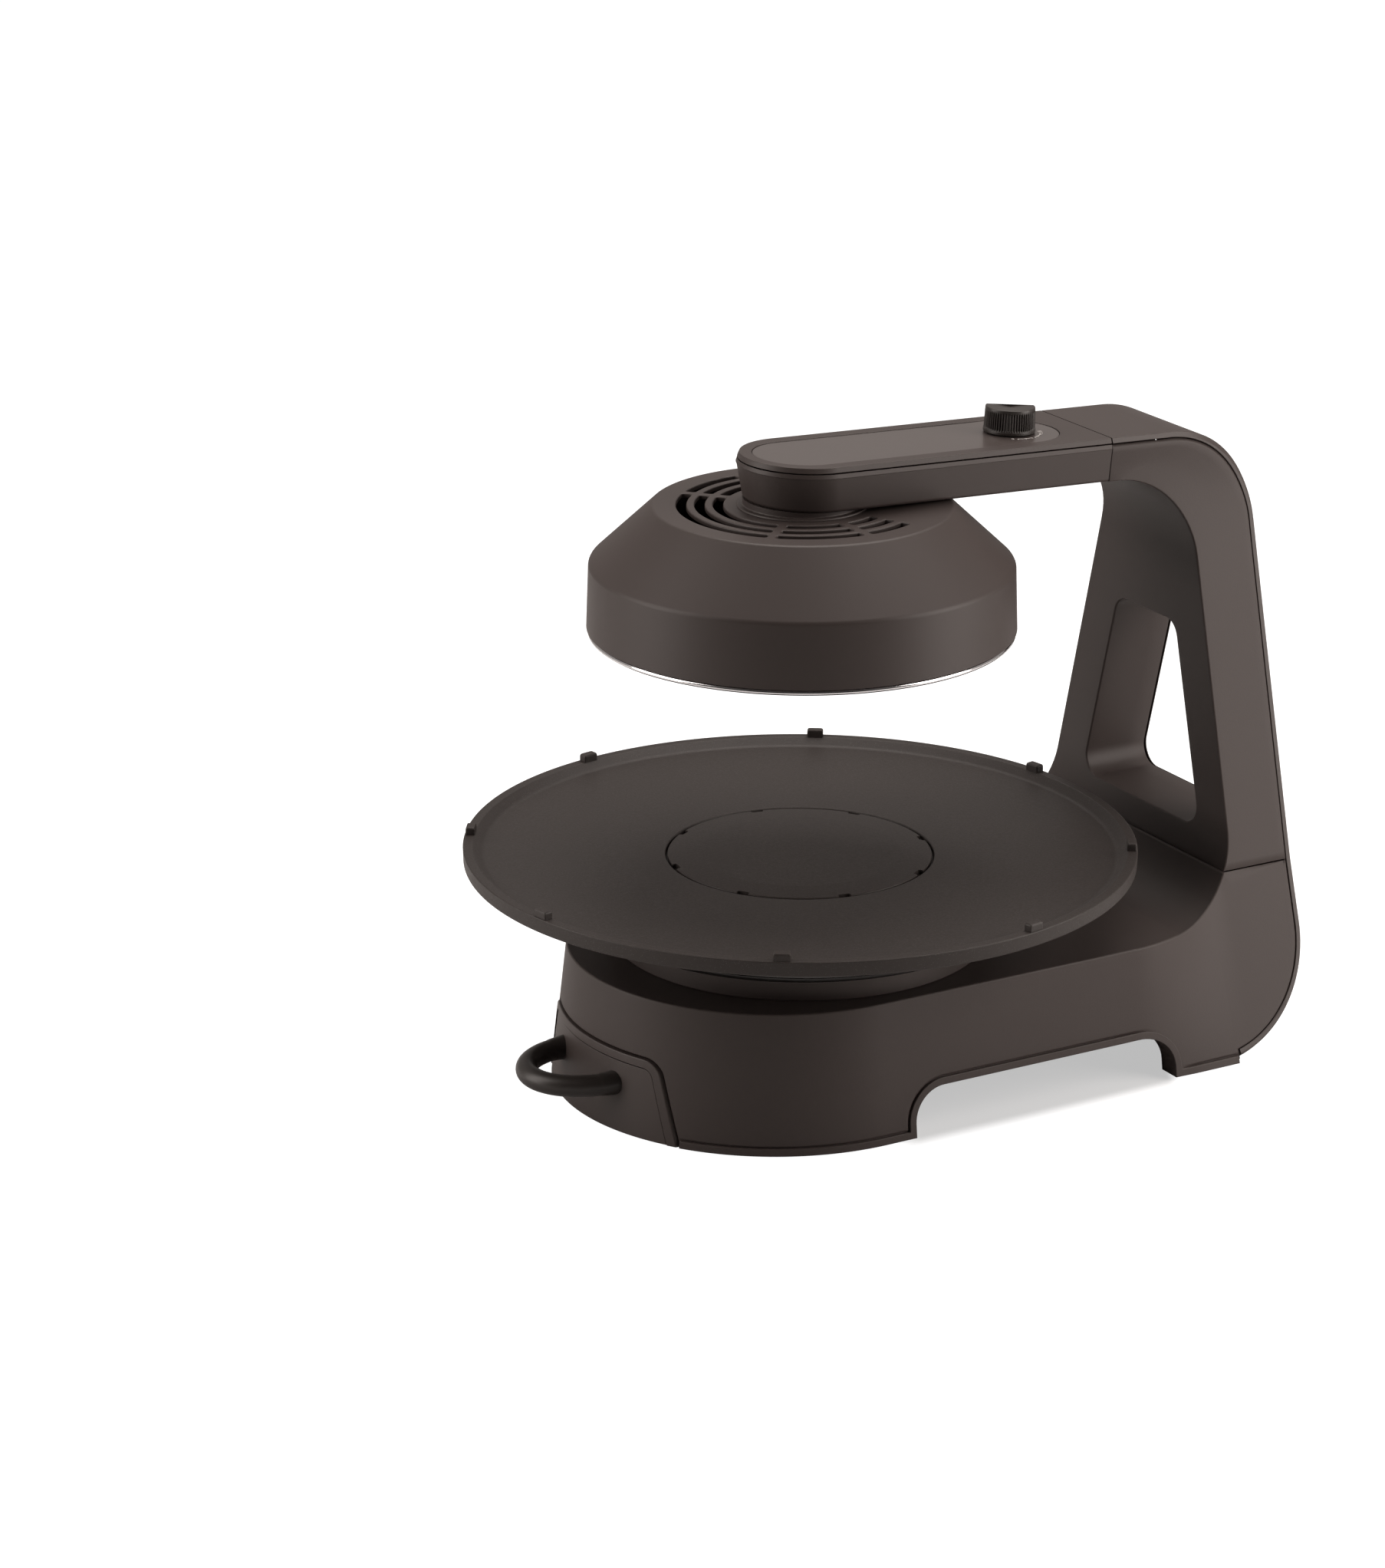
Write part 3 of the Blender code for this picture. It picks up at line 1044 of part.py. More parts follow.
def drain_cover(material, parent):
    """The loose cover over the drain: it stands on a notched edge, so fat runs in below it."""
    edge, floor = PAN_WELL_R - 0.0015, PAN_FLOOR_Z
    profile = [(0, floor + 0.0042), (PAN_WELL_R * 0.75, floor + 0.0038), (edge - 0.0010, floor + 0.0030),
               (edge, floor + 0.0023), (edge, floor + 0.0008), (edge - 0.0040, floor + 0.0008),
               (edge - 0.0040, floor + 0.0018), (0, floor + 0.0025)]
    cover = turned("drain_cover", profile, material, parent, 28)
    bm = bmesh.new()
    for i in range(8):
        turn = Matrix.Rotation(math.radians(LUG_FIRST_DEG + 22.5 + 45 * i), 4, "Z")
        place = turn @ Matrix.Translation((edge, 0, floor + 0.002))
        bmesh.ops.create_cube(bm, size=1.0, matrix=place @ Matrix.Diagonal((0.0060, 0.0080, 0.010, 1.0)))
    cut(cover, finish("cut_drain_notches", bm, None, parent))
    return cover


def feet(material, root):
    """Four rubber feet under the floor plate's legs."""
    for name, (x, y) in zip(("front_left", "front_right", "rear_left", "rear_right"), FEET):
        profile = [(0, -FOOT_PROUD), (FOOT_R - 0.0008, -FOOT_PROUD), (FOOT_R, -FOOT_PROUD + 0.0008),
                   (FOOT_R, 2 * FIT), (0, 2 * FIT)]
        turned(f"foot_{name}", profile, material, root, 12, (x, y))


def plate_screws(material, root):
    """Four screws that hold the floor plate to the base's bosses."""
    for i, centre in enumerate(BOSSES, 1):
        screw(f"plate_screw_{i}", (*centre, PLATE_Z - FIT), 0.0150, material, root)


def head_electrics(plastic, metal, root):
    """The terminal block and the thermal cut-out, seated on the reflector's back."""
    seat = DISH_Z + DISH_SHEET + FIT
    box("terminal_block", (0.0, -0.0120, seat), (0.0160, 0.0120, seat + 0.0120), plastic, root)
    turned("thermal_cutout", [(0, seat), (0.0080, seat), (0.0080, seat + 0.0060), (0.0050, seat + 0.0100),
                              (0, seat + 0.0100)], metal, root, 16, (-0.0180, 0.0))


def main():
    """Build every piece."""
    clear_scene()
    housing = look("charcoal_housing_plastic", (0.072, 0.060, 0.055), 0.55)
    trim = look("charcoal_trim_plastic", (0.078, 0.066, 0.061), 0.50)
    panel = look("panel_gloss_plastic", (0.105, 0.094, 0.090), 0.32)
    black = look("black_satin_plastic", (0.020, 0.018, 0.017), 0.42)
    gloss = look("black_gloss_enamel", (0.010, 0.010, 0.010), 0.12)
    cast = look("nonstick_cast_aluminium", (0.030, 0.030, 0.031), 0.48)
    chrome = look("chrome_wire", (0.78, 0.78, 0.80), 0.12, 1.0)
    polished = look("polished_aluminium", (0.82, 0.82, 0.83), 0.18, 1.0)
    quartz = look("heater_quartz", (0.55, 0.20, 0.10), 0.20)
    ceramic = look("ceramic_white", (0.80, 0.78, 0.72), 0.60)
    rubber = look("foot_rubber", (0.015, 0.015, 0.015), 0.85)
    steel = look("zinc_steel", (0.45, 0.45, 0.46), 0.35, 1.0)
    acetal = look("bearing_acetal", (0.75, 0.74, 0.70), 0.45)
    brass = look("pin_brass", (0.60, 0.45, 0.20), 0.30, 1.0)

    root = empty("grill_frame", (PAN_X, 0.0, FOOT_PROUD))
    arm = empty("arm_frame", (ARM_SEAM_X, 0.0, ARM_SEAM_Z), root, (0.0, ARM_SLOPE, 0.0))
    drawer = empty("drawer_slide", (0.0, 0.0, 0.0), root)
    spindle = empty("turntable_axis", (0.0, 0.0, 0.0), root)
    lift = empty("pan_lift", (0.0, 0.0, 0.0), spindle)
    cover_lift = empty("drain_cover_lift", (0.0, 0.0, 0.0), lift)

    base_housing(housing, root)
    edge_band("edge_band_left", 1, housing, root)
    edge_band("edge_band_right", -1, housing, root)
    bottom_plate(black, root)
    drawer_guide(black, root)
    feet(rubber, root)
    plate_screws(steel, root)
    drawer_front(trim, drawer)
    drip_tray(polished, drawer)
    handle(black, drawer)
    handle_screws(steel, drawer)
    post_shell(housing, root)
    back_cover(trim, root)
    cover_screws(steel, root)
    power_inlet(black, brass, root)
    arm_shell = arm_lower_shell(housing, arm)
    low, high = CROWN_Z - 0.01, CROWN_Z + 0.02
    cut(arm_shell, holes("cut_arm_holes", NECK_SCREWS, low, high, root))
    cut(arm_shell, cylinders("cut_arm_wire_hole", [(0.0, 0.0)], NECK_BORE_R, low, high, None, root, steps=20))
    arm_top_cover(trim, arm)
    inset_panel(panel, arm)
    rotary_switch(black, arm)
    control_knob(black, arm)
    head_housing(housing, root)
    neck_ring(trim, root)
    neck_screws(steel, root)
    reflector(polished, root)
    heaters(quartz, ceramic, root)
    wire_guard(chrome, root)
    head_electrics(ceramic, steel, root)
    collar(housing, root)
    bearing_ring(acetal, root)
    turntable(gloss, spindle)
    grill_pan(cast, lift)
    drain_cover(cast, cover_lift)


main()
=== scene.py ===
"""Tabletop infrared grill, dressed for rendering.

The grill's own frame has the pan's axis on Z and the lower edge of the base's skirt at height 0. Its front,
with the drawer, is towards -X and its post towards +X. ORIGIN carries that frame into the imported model's
frame. Every size is in metres, except where its name says mm.
"""

import logging
import math
from dataclasses import dataclass, field
from enum import Enum
from typing import Callable, Sequence

import bmesh
import bpy
import numpy as np
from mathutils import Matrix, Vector


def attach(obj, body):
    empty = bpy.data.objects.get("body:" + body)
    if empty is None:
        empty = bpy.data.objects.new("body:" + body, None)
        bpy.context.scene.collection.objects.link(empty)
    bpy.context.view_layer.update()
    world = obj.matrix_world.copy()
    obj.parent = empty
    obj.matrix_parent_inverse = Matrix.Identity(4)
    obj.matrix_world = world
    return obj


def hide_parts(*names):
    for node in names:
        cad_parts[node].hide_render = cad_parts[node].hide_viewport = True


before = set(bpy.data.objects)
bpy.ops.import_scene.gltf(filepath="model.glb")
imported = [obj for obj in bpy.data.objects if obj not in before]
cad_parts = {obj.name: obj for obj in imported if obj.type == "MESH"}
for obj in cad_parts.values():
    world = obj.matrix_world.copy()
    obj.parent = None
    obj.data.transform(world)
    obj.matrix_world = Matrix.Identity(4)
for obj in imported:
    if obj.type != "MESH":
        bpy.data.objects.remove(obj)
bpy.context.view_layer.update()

Array = np.ndarray
Floats = Sequence[float]
Pair = tuple[float, float]
Pairs = Sequence[Pair]
Socket = bpy.types.NodeSocket
Place = Callable[[Array], Array]

ORIGIN = np.array([-0.046, 0.0, 0.002])
FIT = 0.0003    # between pieces that touch
RUN = 0.0010    # between round pieces that turn in one another
WALL = 0.0028   # moulded walls

log = logging.getLogger("grill")


class Body(Enum):
    """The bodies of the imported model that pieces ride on."""
    FRAME = "frame"
    DRAWER = "drawer"
    KNOB = "knob"
    TURNTABLE = "turntable"
    PAN = "pan"
    DRAIN_COVER = "drain_cover"


class Slot(Enum):
    """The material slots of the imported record."""
    HOUSING = "housing"
    TRIM = "trim"
    PANEL = "panel"
    BLACK = "black_plastic"
    RUBBER = "rubber"
    STEEL = "screw_steel"
    BRASS = "brass"
    POLISHED = "polished"
    QUARTZ = "quartz"
    CERAMIC = "ceramic"
    CHROME = "chrome"
    ACETAL = "acetal"
    ENAMEL = "black_enamel"
    NONSTICK = "nonstick"


# Outlines and profiles

def heading(angle: Array | float) -> Array:
    """Unit vectors in a plane at angles in radians."""
    return np.stack([np.cos(angle), np.sin(angle)], -1)


def lifted(flat: Array, z: float) -> Array:
    """Points, or values along one axis, with the same height as their last coordinate."""
    return np.column_stack([flat, np.full(len(flat), z)])


def stood(flat: Array, x: float) -> Array:
    """Points, or values along one axis, with the same x as their first coordinate."""
    return np.column_stack([np.full(len(flat), x), flat])


def spread(edge: Array, shares: Array) -> Array:
    """Carry an edge over the middle plane: its y times each share, where -1 gives the other side's edge."""
    return edge[:, None] * np.stack([np.ones(len(shares)), shares, np.ones(len(shares))], -1)[None]


def softened(corners: Array, radii: float | Floats, steps: int = 5, closed: bool = False) -> Array:
    """Replace the corners of a polyline by arcs that touch both of their edges.

    Args:
        corners: (n, 2) corner points.
        radii: one radius for all corners, or one for each.
        steps: segments in each arc.
        closed: whether the last corner joins the first.

    Returns:
        (m, 2) points, where a corner with radius 0 keeps its single point.
    """
    corners = np.asarray(corners, float)
    count = len(corners)
    radii = np.broadcast_to(radii, count)
    points = []
    for i, (corner, radius) in enumerate(zip(corners, radii)):
        if radius <= 0 or (not closed and i in (0, count - 1)):
            points.append(corner[None])
            continue
        before = corners[i - 1] - corner
        after = corners[(i + 1) % count] - corner
        before, after = before / np.linalg.norm(before), after / np.linalg.norm(after)
        half = math.acos(float(np.clip(before @ after, -1, 1))) / 2
        centre = corner + (before + after) / np.linalg.norm(before + after) * radius / math.sin(half)
        start = corner + before * radius / math.tan(half) - centre
        end = corner + after * radius / math.tan(half) - centre
        first = math.atan2(start[1], start[0])
        turn = math.remainder(math.atan2(end[1], end[0]) - first, 2 * math.pi)
        angle = first + turn * np.linspace(0, 1, steps + 1)
        points.append(centre + radius * heading(angle))
    return np.concatenate(points)


def arc(cx: float, cy: float, radius: float, start: float, end: float, steps: int) -> Array:
    """Points along an arc in a plane, its angles in degrees."""
    angle = np.radians(np.linspace(start, end, steps + 1))
    return np.array((cx, cy)) + radius * heading(angle)


def rounded_box(half_u: float, half_v: float, radius: float, long: int = 1, steps: int = 4) -> Array:
    """A rectangle with round corners, drawn anticlockwise, its two long sides in equal steps.

    Args:
        half_u: half of its length.
        half_v: half of its width.
        radius: corner radius.
        long: segments along each long side.
        steps: segments in each corner.

    Returns:
        (n, 2) points.
    """
    u, v = half_u - radius, half_v - radius
    run = np.linspace(-u, u, long + 1)[1:-1]
    sides = [arc(u, -v, radius, -90, 0, steps), arc(u, v, radius, 0, 90, steps),
             lifted(run[::-1], half_v), arc(-u, v, radius, 90, 180, steps),
             arc(-u, -v, radius, 180, 270, steps), lifted(run, -half_v)]
    return np.concatenate(sides)


def turned(profile: Array, steps: int, centre: Pair = (0.0, 0.0)) -> Array:
    """Turn (radius, height) pairs about a vertical axis: x = cx + r cos a, y = cy + r sin a, z = h.

    Args:
        profile: (n, 2) radius and height pairs.
        steps: columns round the axis.
        centre: where the axis stands.

    Returns:
        (n, steps, 3) points, which wrap round in their columns.
    """
    angle = np.arange(steps) * 2 * np.pi / steps
    radius, height = np.asarray(profile, float).T
    x = centre[0] + np.outer(radius, np.cos(angle))
    y = centre[1] + np.outer(radius, np.sin(angle))
    return np.stack([x, y, np.broadcast_to(height[:, None], x.shape)], -1)


def tube(path: Array, radius: float | Array, sides: int, closed: bool = False) -> Array:
    """Carry a circle along a path: centre + r (cos b side + sin b upward), both square to the path.

    Args:
        path: (n, 3) centres of a path that is never upright.
        radius: one radius, or one for each centre.
        sides: points round the circle.
        closed: whether the path's end joins its start.

    Returns:
        (n, sides, 3) points.
    """
    if closed:
        ahead = np.roll(path, -1, 0) - np.roll(path, 1, 0)
    else:
        ahead = np.gradient(path, axis=0)
    ahead = ahead / np.linalg.norm(ahead, axis=1, keepdims=True)
    side = np.cross(ahead, (0.0, 0.0, 1.0))
    side /= np.linalg.norm(side, axis=1, keepdims=True)
    upward = np.cross(side, ahead)
    angle = np.arange(sides) * 2 * np.pi / sides
    radius = np.broadcast_to(radius, len(path))[:, None, None]
    ring = np.cos(angle)[None, :, None] * side[:, None] + np.sin(angle)[None, :, None] * upward[:, None]
    return path[:, None] + radius * ring


def bent(box: Array, middle: float, angle: float) -> Array:
    """Bend a plan outline round the pan's axis, its length along a circle and its width across it.

    Args:
        box: (n, 2) points.
        middle: the circle's radius.
        angle: direction of the outline's middle, in radians.

    Returns:
        (n, 2) points.
    """
    return (middle + box[:, 1])[:, None] * heading(angle + box[:, 0] / middle)


def eased(radius: float, *degrees: float) -> list[Pair]:
    """How far a rounded edge lies inside its two faces, r (1 - sin a) and r (1 - cos a), at angles a."""
    return [(radius * (1 - math.sin(a)), radius * (1 - math.cos(a))) for a in np.radians(degrees)]


def circle_path(radius: float, height: float, steps: int) -> Array:
    """Centres round a level circle about the pan's axis."""
    return lifted(arc(0.0, 0.0, radius, 0, 360, steps)[:-1], height)


class Skin:
    """Grids and caps of points that make up one mesh."""

    def __init__(self) -> None:
        """Start with no points."""
        self.points: list[Array] = []
        self.faces: list[list[int]] = []
        self.count = 0

    def grid(self, points: Array | list[Array], wrap_rows: bool = False, wrap_cols: bool = False) -> "Skin":
        """Add a quad for each cell of a grid of points.

        Args:
            points: (rows, columns, 3) points.
            wrap_rows: whether the last row joins the first.
            wrap_cols: whether the last column joins the first.

        Returns:
            The skin itself.
        """
        points = np.asarray(points)
        rows, cols = points.shape[:2]
        index = np.arange(rows * cols).reshape(rows, cols) + self.count
        if wrap_rows:
            index = np.vstack([index, index[:1]])
        if wrap_cols:
            index = np.hstack([index, index[:, :1]])
        quads = np.stack([index[:-1, :-1], index[:-1, 1:], index[1:, 1:], index[1:, :-1]], -1)
        self.faces.extend(quads.reshape(-1, 4).tolist())
        self.points.append(points.reshape(-1, 3))
        self.count += rows * cols
        return self

    def torus(self, points: Array) -> "Skin":
        """Add a grid that joins itself both ways."""
        return self.grid(points, wrap_rows=True, wrap_cols=True)

    def cap(self, loop: Array) -> "Skin":
        """Add one flat face over a closed loop of points."""
        self.faces.append(list(range(self.count, self.count + len(loop))))
        self.points.append(loop)
        self.count += len(loop)
        return self

    def loft(self, rows: Array | list[Array]) -> "Skin":
        """Add a closed solid over rows that are closed loops, with flat ends."""
        return self.grid(rows, wrap_cols=True).cap(rows[0][::-1]).cap(rows[-1])

    def mirror(self) -> "Skin":
        """Add the same faces on the other side of the plane y = 0."""
        points = np.concatenate(self.points)
        self.faces.extend([[i + self.count for i in reversed(face)] for face in self.faces])
        self.points.append(points * (1, -1, 1))
        self.count += len(points)
        return self

    def mesh(self, name: str, place: Place | None = None) -> bpy.types.Mesh:
        """Weld the points and make a mesh whose faces point outwards.

        Args:
            name: the mesh's name.
            place: carries the points into the grill's frame, where they aren't in it already.

        Returns:
            The mesh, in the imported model's frame.
        """
        points = np.concatenate(self.points)
        if place:
            points = place(points)
        mesh = bpy.data.meshes.new(name)
        mesh.from_pydata((points + ORIGIN).tolist(), [], self.faces)
        bm = bmesh.new()
        bm.from_mesh(mesh)
        bmesh.ops.remove_doubles(bm, verts=bm.verts, dist=2e-6)
        bmesh.ops.dissolve_degenerate(bm, edges=bm.edges, dist=1e-7)
        bmesh.ops.recalc_face_normals(bm, faces=bm.faces)
        if any(edge.is_boundary for edge in bm.edges):
            middle = sum((face.calc_center_median() for face in bm.faces), Vector()) / len(bm.faces)
            if sum(f.normal.dot(f.calc_center_median() - middle) * f.calc_area() for f in bm.faces) < 0:
                bmesh.ops.reverse_faces(bm, faces=bm.faces)
        bm.to_mesh(mesh)
        bm.free()
        return mesh


def new_object(name: str, data: bpy.types.ID) -> bpy.types.Object:
    """Make an object and put it in the scene."""
    item = bpy.data.objects.new(name, data)
    bpy.context.scene.collection.objects.link(item)
    return item


def final_mesh(item: bpy.types.Object) -> bpy.types.Mesh:
    """A new mesh of what an object is after its modifiers."""
    graph = bpy.context.evaluated_depsgraph_get()
    return bpy.data.meshes.new_from_object(item.evaluated_get(graph))


@dataclass
class Piece:
    """How a finished skin is shown: what it is made of, what it rides on and what it stands for."""
    name: str
    finish: "Finish"
    body: Body
    slot: Slot
    nodes: Sequence[str] = ()
    sharp: float = 38.0
    wall: float = 0.0
    place: Place | None = None
    cutters: Sequence[Skin] = ()

    def show(self, skin: Skin) -> bpy.types.Object:
        """Make the object, with its wall, its cuts and its shading, and hand it to the frame.

        Args:
            skin: the points and faces.

        Returns:
            The finished object.
        """
        item = new_object(self.name, skin.mesh(self.name, self.place))
        if self.wall:
            shell = item.modifiers.new("wall", "SOLIDIFY")
            shell.thickness = self.wall
            shell.offset = -1.0
            shell.use_even_offset = True
        if self.cutters:
            self.carve(item)
        item.data.materials.clear()
        item.data.materials.append(self.finish.material())
        item.data.shade_smooth()
        item.data.set_sharp_from_angle(angle=math.radians(self.sharp))
        weighted = item.modifiers.new("shading", "WEIGHTED_NORMAL")
        weighted.keep_sharp = True
        weighted.weight = 60
        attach(item, self.body.value)
        if self.nodes:
            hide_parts(*self.nodes)
        log.info("%s: %d faces on %s", self.name, len(item.data.polygons), self.body.value)
        return item

    def carve(self, item: bpy.types.Object) -> None:
        """Take the cutters out of a piece and leave the result as its mesh."""
        tools = []
        for i, cutter in enumerate(self.cutters):
            tool = new_object(f"cutter_{i}", cutter.mesh(f"cutter_{i}", self.place))
            tools.append(tool)
            bite = item.modifiers.new(tool.name, "BOOLEAN")
            bite.operation = "DIFFERENCE"
            bite.solver = "EXACT"
            bite.object = tool
        mesh = final_mesh(item)
        item.modifiers.clear()
        item.data = mesh
        for tool in tools:
            bpy.data.objects.remove(tool)


# Finishes

def linear(code: str) -> tuple[float, float, float, float]:
    """An sRGB hex colour as the linear colour with alpha that shader sockets take."""
    values = [int(code[i:i + 2], 16) / 255 for i in (1, 3, 5)]
    return (*[v / 12.92 if v <= 0.04045 else ((v + 0.055) / 1.055) ** 2.4 for v in values], 1.0)


@dataclass
class Nodes:
    """A node tree, with short ways to add what the finishes and the studio are made of."""
    tree: bpy.types.NodeTree

    def add(self, kind: str, inputs: dict | None = None, **settings: str) -> bpy.types.Node:
        """Add a node with its settings, and set or link its inputs.

        Args:
            kind: the node's type name, less its first word.
            inputs: a value or another node's output for each input, by name or number.
            settings: properties of the node itself.

        Returns:
            The node.
        """
        item = self.tree.nodes.new("ShaderNode" + kind)
        for key, value in settings.items():
            setattr(item, key, value)
        self.feed(item, inputs or {})
        return item

    def feed(self, item: bpy.types.Node, inputs: dict) -> None:
        """Set each input to its value, or link it to the output given for it."""
        for key, value in inputs.items():
            if isinstance(value, Socket):
                self.tree.links.new(value, item.inputs[key])
            else:
                item.inputs[key].default_value = value

    def math(self, operation: str, *values: object) -> Socket:
        """One sum over values and outputs."""
        return self.add("Math", dict(enumerate(values)), operation=operation).outputs[0]

    def noise(self, vector: Socket, size_mm: float, detail: float, rough: float = 0.5) -> Socket:
        """Noise whose features are about one size in millimetres."""
        return self.add("TexNoise", {"Vector": vector, "Scale": 1000 / size_mm, "Detail": detail,
                                     "Roughness": rough}).outputs[0]

    def mix(self, share: Socket, first: Floats, second: Floats) -> Socket:
        """A colour between two colours."""
        return self.add("Mix", {"Factor": share, 6: first, 7: second}, data_type="RGBA").outputs[2]

    def remap(self, value: Socket, low: float, high: float) -> Socket:
        """A value from 0 to 1 carried to a range."""
        return self.add("MapRange", {"Value": value, "To Min": low, "To Max": high}).outputs[0]

    def step(self, value: Socket, start: float, end: float, low: float = 0.0, high: float = 1.0) -> Socket:
        """A smooth step from low, where the value is start, to high, where it is end."""
        return self.add("MapRange", {"Value": value, "From Min": start, "From Max": end, "To Min": low,
                                     "To Max": high}, interpolation_type="SMOOTHSTEP").outputs[0]

    def bump(self, height: Socket, strength: float, relief_mm: float) -> Socket:
        """A normal that a height pattern tilts."""
        return self.add("Bump", {"Height": height, "Strength": strength,
                                 "Distance": relief_mm / 1000}).outputs[0]

    def along(self, vector: Socket, way: Floats) -> Socket:
        """How far a point lies along a direction."""
        return self.add("VectorMath", {0: vector, 1: way}, operation="DOT_PRODUCT").outputs["Value"]

    def seen(self) -> Socket:
        """1 for rays from the camera, straight or through glass, and 0 for light."""
        ray = self.add("LightPath").outputs
        return self.math("MAXIMUM", ray["Is Camera Ray"], ray["Is Transmission Ray"])


@dataclass(frozen=True)
class Finish:
    """A finish: its name, its colour as sRGB hex and its roughness."""
    name: str
    colour: str
    roughness: float

    def material(self) -> bpy.types.Material:
        """The finish's material, made once."""
        return bpy.data.materials.get(self.name) or self.make()

    def make(self) -> bpy.types.Material:
        """Make the material: its colour and roughness, then what its look sets or links."""
        material = bpy.data.materials.new(self.name)
        material.use_nodes = True
        material.diffuse_color = linear(self.colour)
        nodes = Nodes(material.node_tree)
        metres = nodes.add("TexCoord").outputs["Object"]
        shader = nodes.tree.nodes["Principled BSDF"]
        nodes.feed(shader, {"Base Color": linear(self.colour), "Roughness": self.roughness})
        nodes.feed(shader, self.look(nodes, metres))
        return material

    def look(self, nodes: Nodes, metres: Socket) -> dict:
        """The shader inputs that a kind of finish sets or links.

        Args:
            nodes: the material's nodes.
            metres: the coordinates in metres that its patterns read.

        Returns:
            A value or an output for each input.
        """
        return {}

    def vary(self, nodes: Nodes, amount: Socket, tone: float, rough: float) -> dict:
        """Let a pattern from 0 to 1 lighten the colour and change the roughness.

        Args:
            nodes: the material's nodes.
            amount: the pattern.
            tone: how far the colour goes below and above its own value.
            rough: how far the roughness goes below and above its own value.

        Returns:
            The inputs for colour and roughness.
        """
        base = linear(self.colour)[:3]
        low, high = [(*[min(1.0, c * (1 + way)) for c in base], 1.0) for way in (-tone, tone)]
        return {"Base Color": nodes.mix(amount, low, high),
                "Roughness": nodes.remap(amount, self.roughness - rough, self.roughness + rough)}


@dataclass(frozen=True)
class Moulded(Finish):
    """Moulded ABS: the grain of the spark-eroded mould gives a fine, soft, matte tooth."""
    grain_mm: float = 0.9
    relief_mm: float = 0.03
    tone: float = 0.10
    gloss: float = 0.30
    slow_mm: float = 70.0

    def look(self, nodes: Nodes, metres: Socket) -> dict:
        """Mould grain, slow unevenness of the moulding and a dull gloss."""
        grain = nodes.noise(metres, self.grain_mm, 3.0, 0.6)
        slow = nodes.math("MULTIPLY", nodes.noise(metres, self.slow_mm, 2.0), 0.3)
        blend = nodes.math("MULTIPLY_ADD", grain, 0.7, slow)
        return {"IOR": 1.46, "Specular IOR Level": self.gloss, **self.vary(nodes, blend, self.tone, 0.05),
                "Normal": nodes.bump(grain, 1.0, self.relief_mm)}


@dataclass(frozen=True)
class Glossy(Finish):
    """Smooth gloss over a dark ground: a clear, slightly wavy reflection."""
    coat: float = 0.0
    wave_mm: float = 12.0

    def look(self, nodes: Nodes, metres: Socket) -> dict:
        """A wet gloss with a faint orange peel."""
        peel = nodes.noise(metres, self.wave_mm, 2.0)
        return {"IOR": 1.5, "Coat Weight": self.coat, "Coat Roughness": 0.04,
                **self.vary(nodes, peel, 0.06, 0.02), "Normal": nodes.bump(peel, 0.3, 0.04)}


@dataclass(frozen=True)
class Metal(Finish):
    """Bare or plated metal: the lines of drawing or spinning break its reflection slightly."""
    line_mm: float = 0.5
    relief_mm: float = 0.006

    def look(self, nodes: Nodes, metres: Socket) -> dict:
        """Fine lines across the height and a soft unevenness of polish."""
        drawn = nodes.add("Mapping", {"Vector": metres, "Scale": (0.2, 0.2, 1.0)}).outputs[0]
        grain = nodes.noise(drawn, self.line_mm, 2.0)
        return {"Metallic": 1.0, **self.vary(nodes, grain, 0.05, 0.04),
                "Normal": nodes.bump(grain, 0.5, self.relief_mm)}


@dataclass(frozen=True)
class Nonstick(Finish):
    """Nonstick coating sprayed on cast aluminium: a dark, dry film with pale mineral specks."""
    speck_mm: float = 1.1
    speck_share: float = 0.16
    speck_colour: str = "#5c5a59"
    cloud_mm: float = 45.0
    pebble_mm: float = 1.4

    def look(self, nodes: Nodes, metres: Socket) -> dict:
        """Sparse specks that come and go in slow clouds, over the pebbled cast below the film."""
        cells = nodes.add("TexVoronoi", {"Vector": metres, "Scale": 1000 / self.speck_mm}).outputs["Distance"]
        specks = nodes.math("LESS_THAN", cells, self.speck_share)
        pale = nodes.math("MULTIPLY", specks, nodes.noise(metres, self.cloud_mm, 2.0))
        pebble = nodes.noise(metres, self.pebble_mm, 3.0)
        return {"IOR": 1.38, "Specular IOR Level": 0.45,
                "Base Color": nodes.mix(pale, linear(self.colour), linear(self.speck_colour)),
                "Roughness": nodes.remap(pebble, self.roughness - 0.08, self.roughness + 0.08),
                "Normal": nodes.bump(pebble, 1.0, 0.05)}


@dataclass(frozen=True)
class Quartz(Finish):
    """Frosted quartz tube: a milky glass with the wound wire showing through as close bands."""
    wire_colour: str = "#8a5a3c"
    turn_mm: float = 3.0

    def look(self, nodes: Nodes, metres: Socket) -> dict:
        """Bands of the heating wire, along the tube's own map and not the metres, under a soft gloss."""
        along = nodes.add("UVMap", uv_map="along").outputs[0]
        waves = {"Vector": along, "Scale": 1000 / self.turn_mm / 20, "Distortion": 0.6, "Detail": 1.0}
        bands = nodes.add("TexWave", waves, bands_direction="X").outputs["Fac"]
        return {"IOR": 1.46, "Coat Weight": 0.6, "Coat Roughness": 0.12,
                "Base Color": nodes.mix(bands, linear(self.colour), linear(self.wire_colour))}


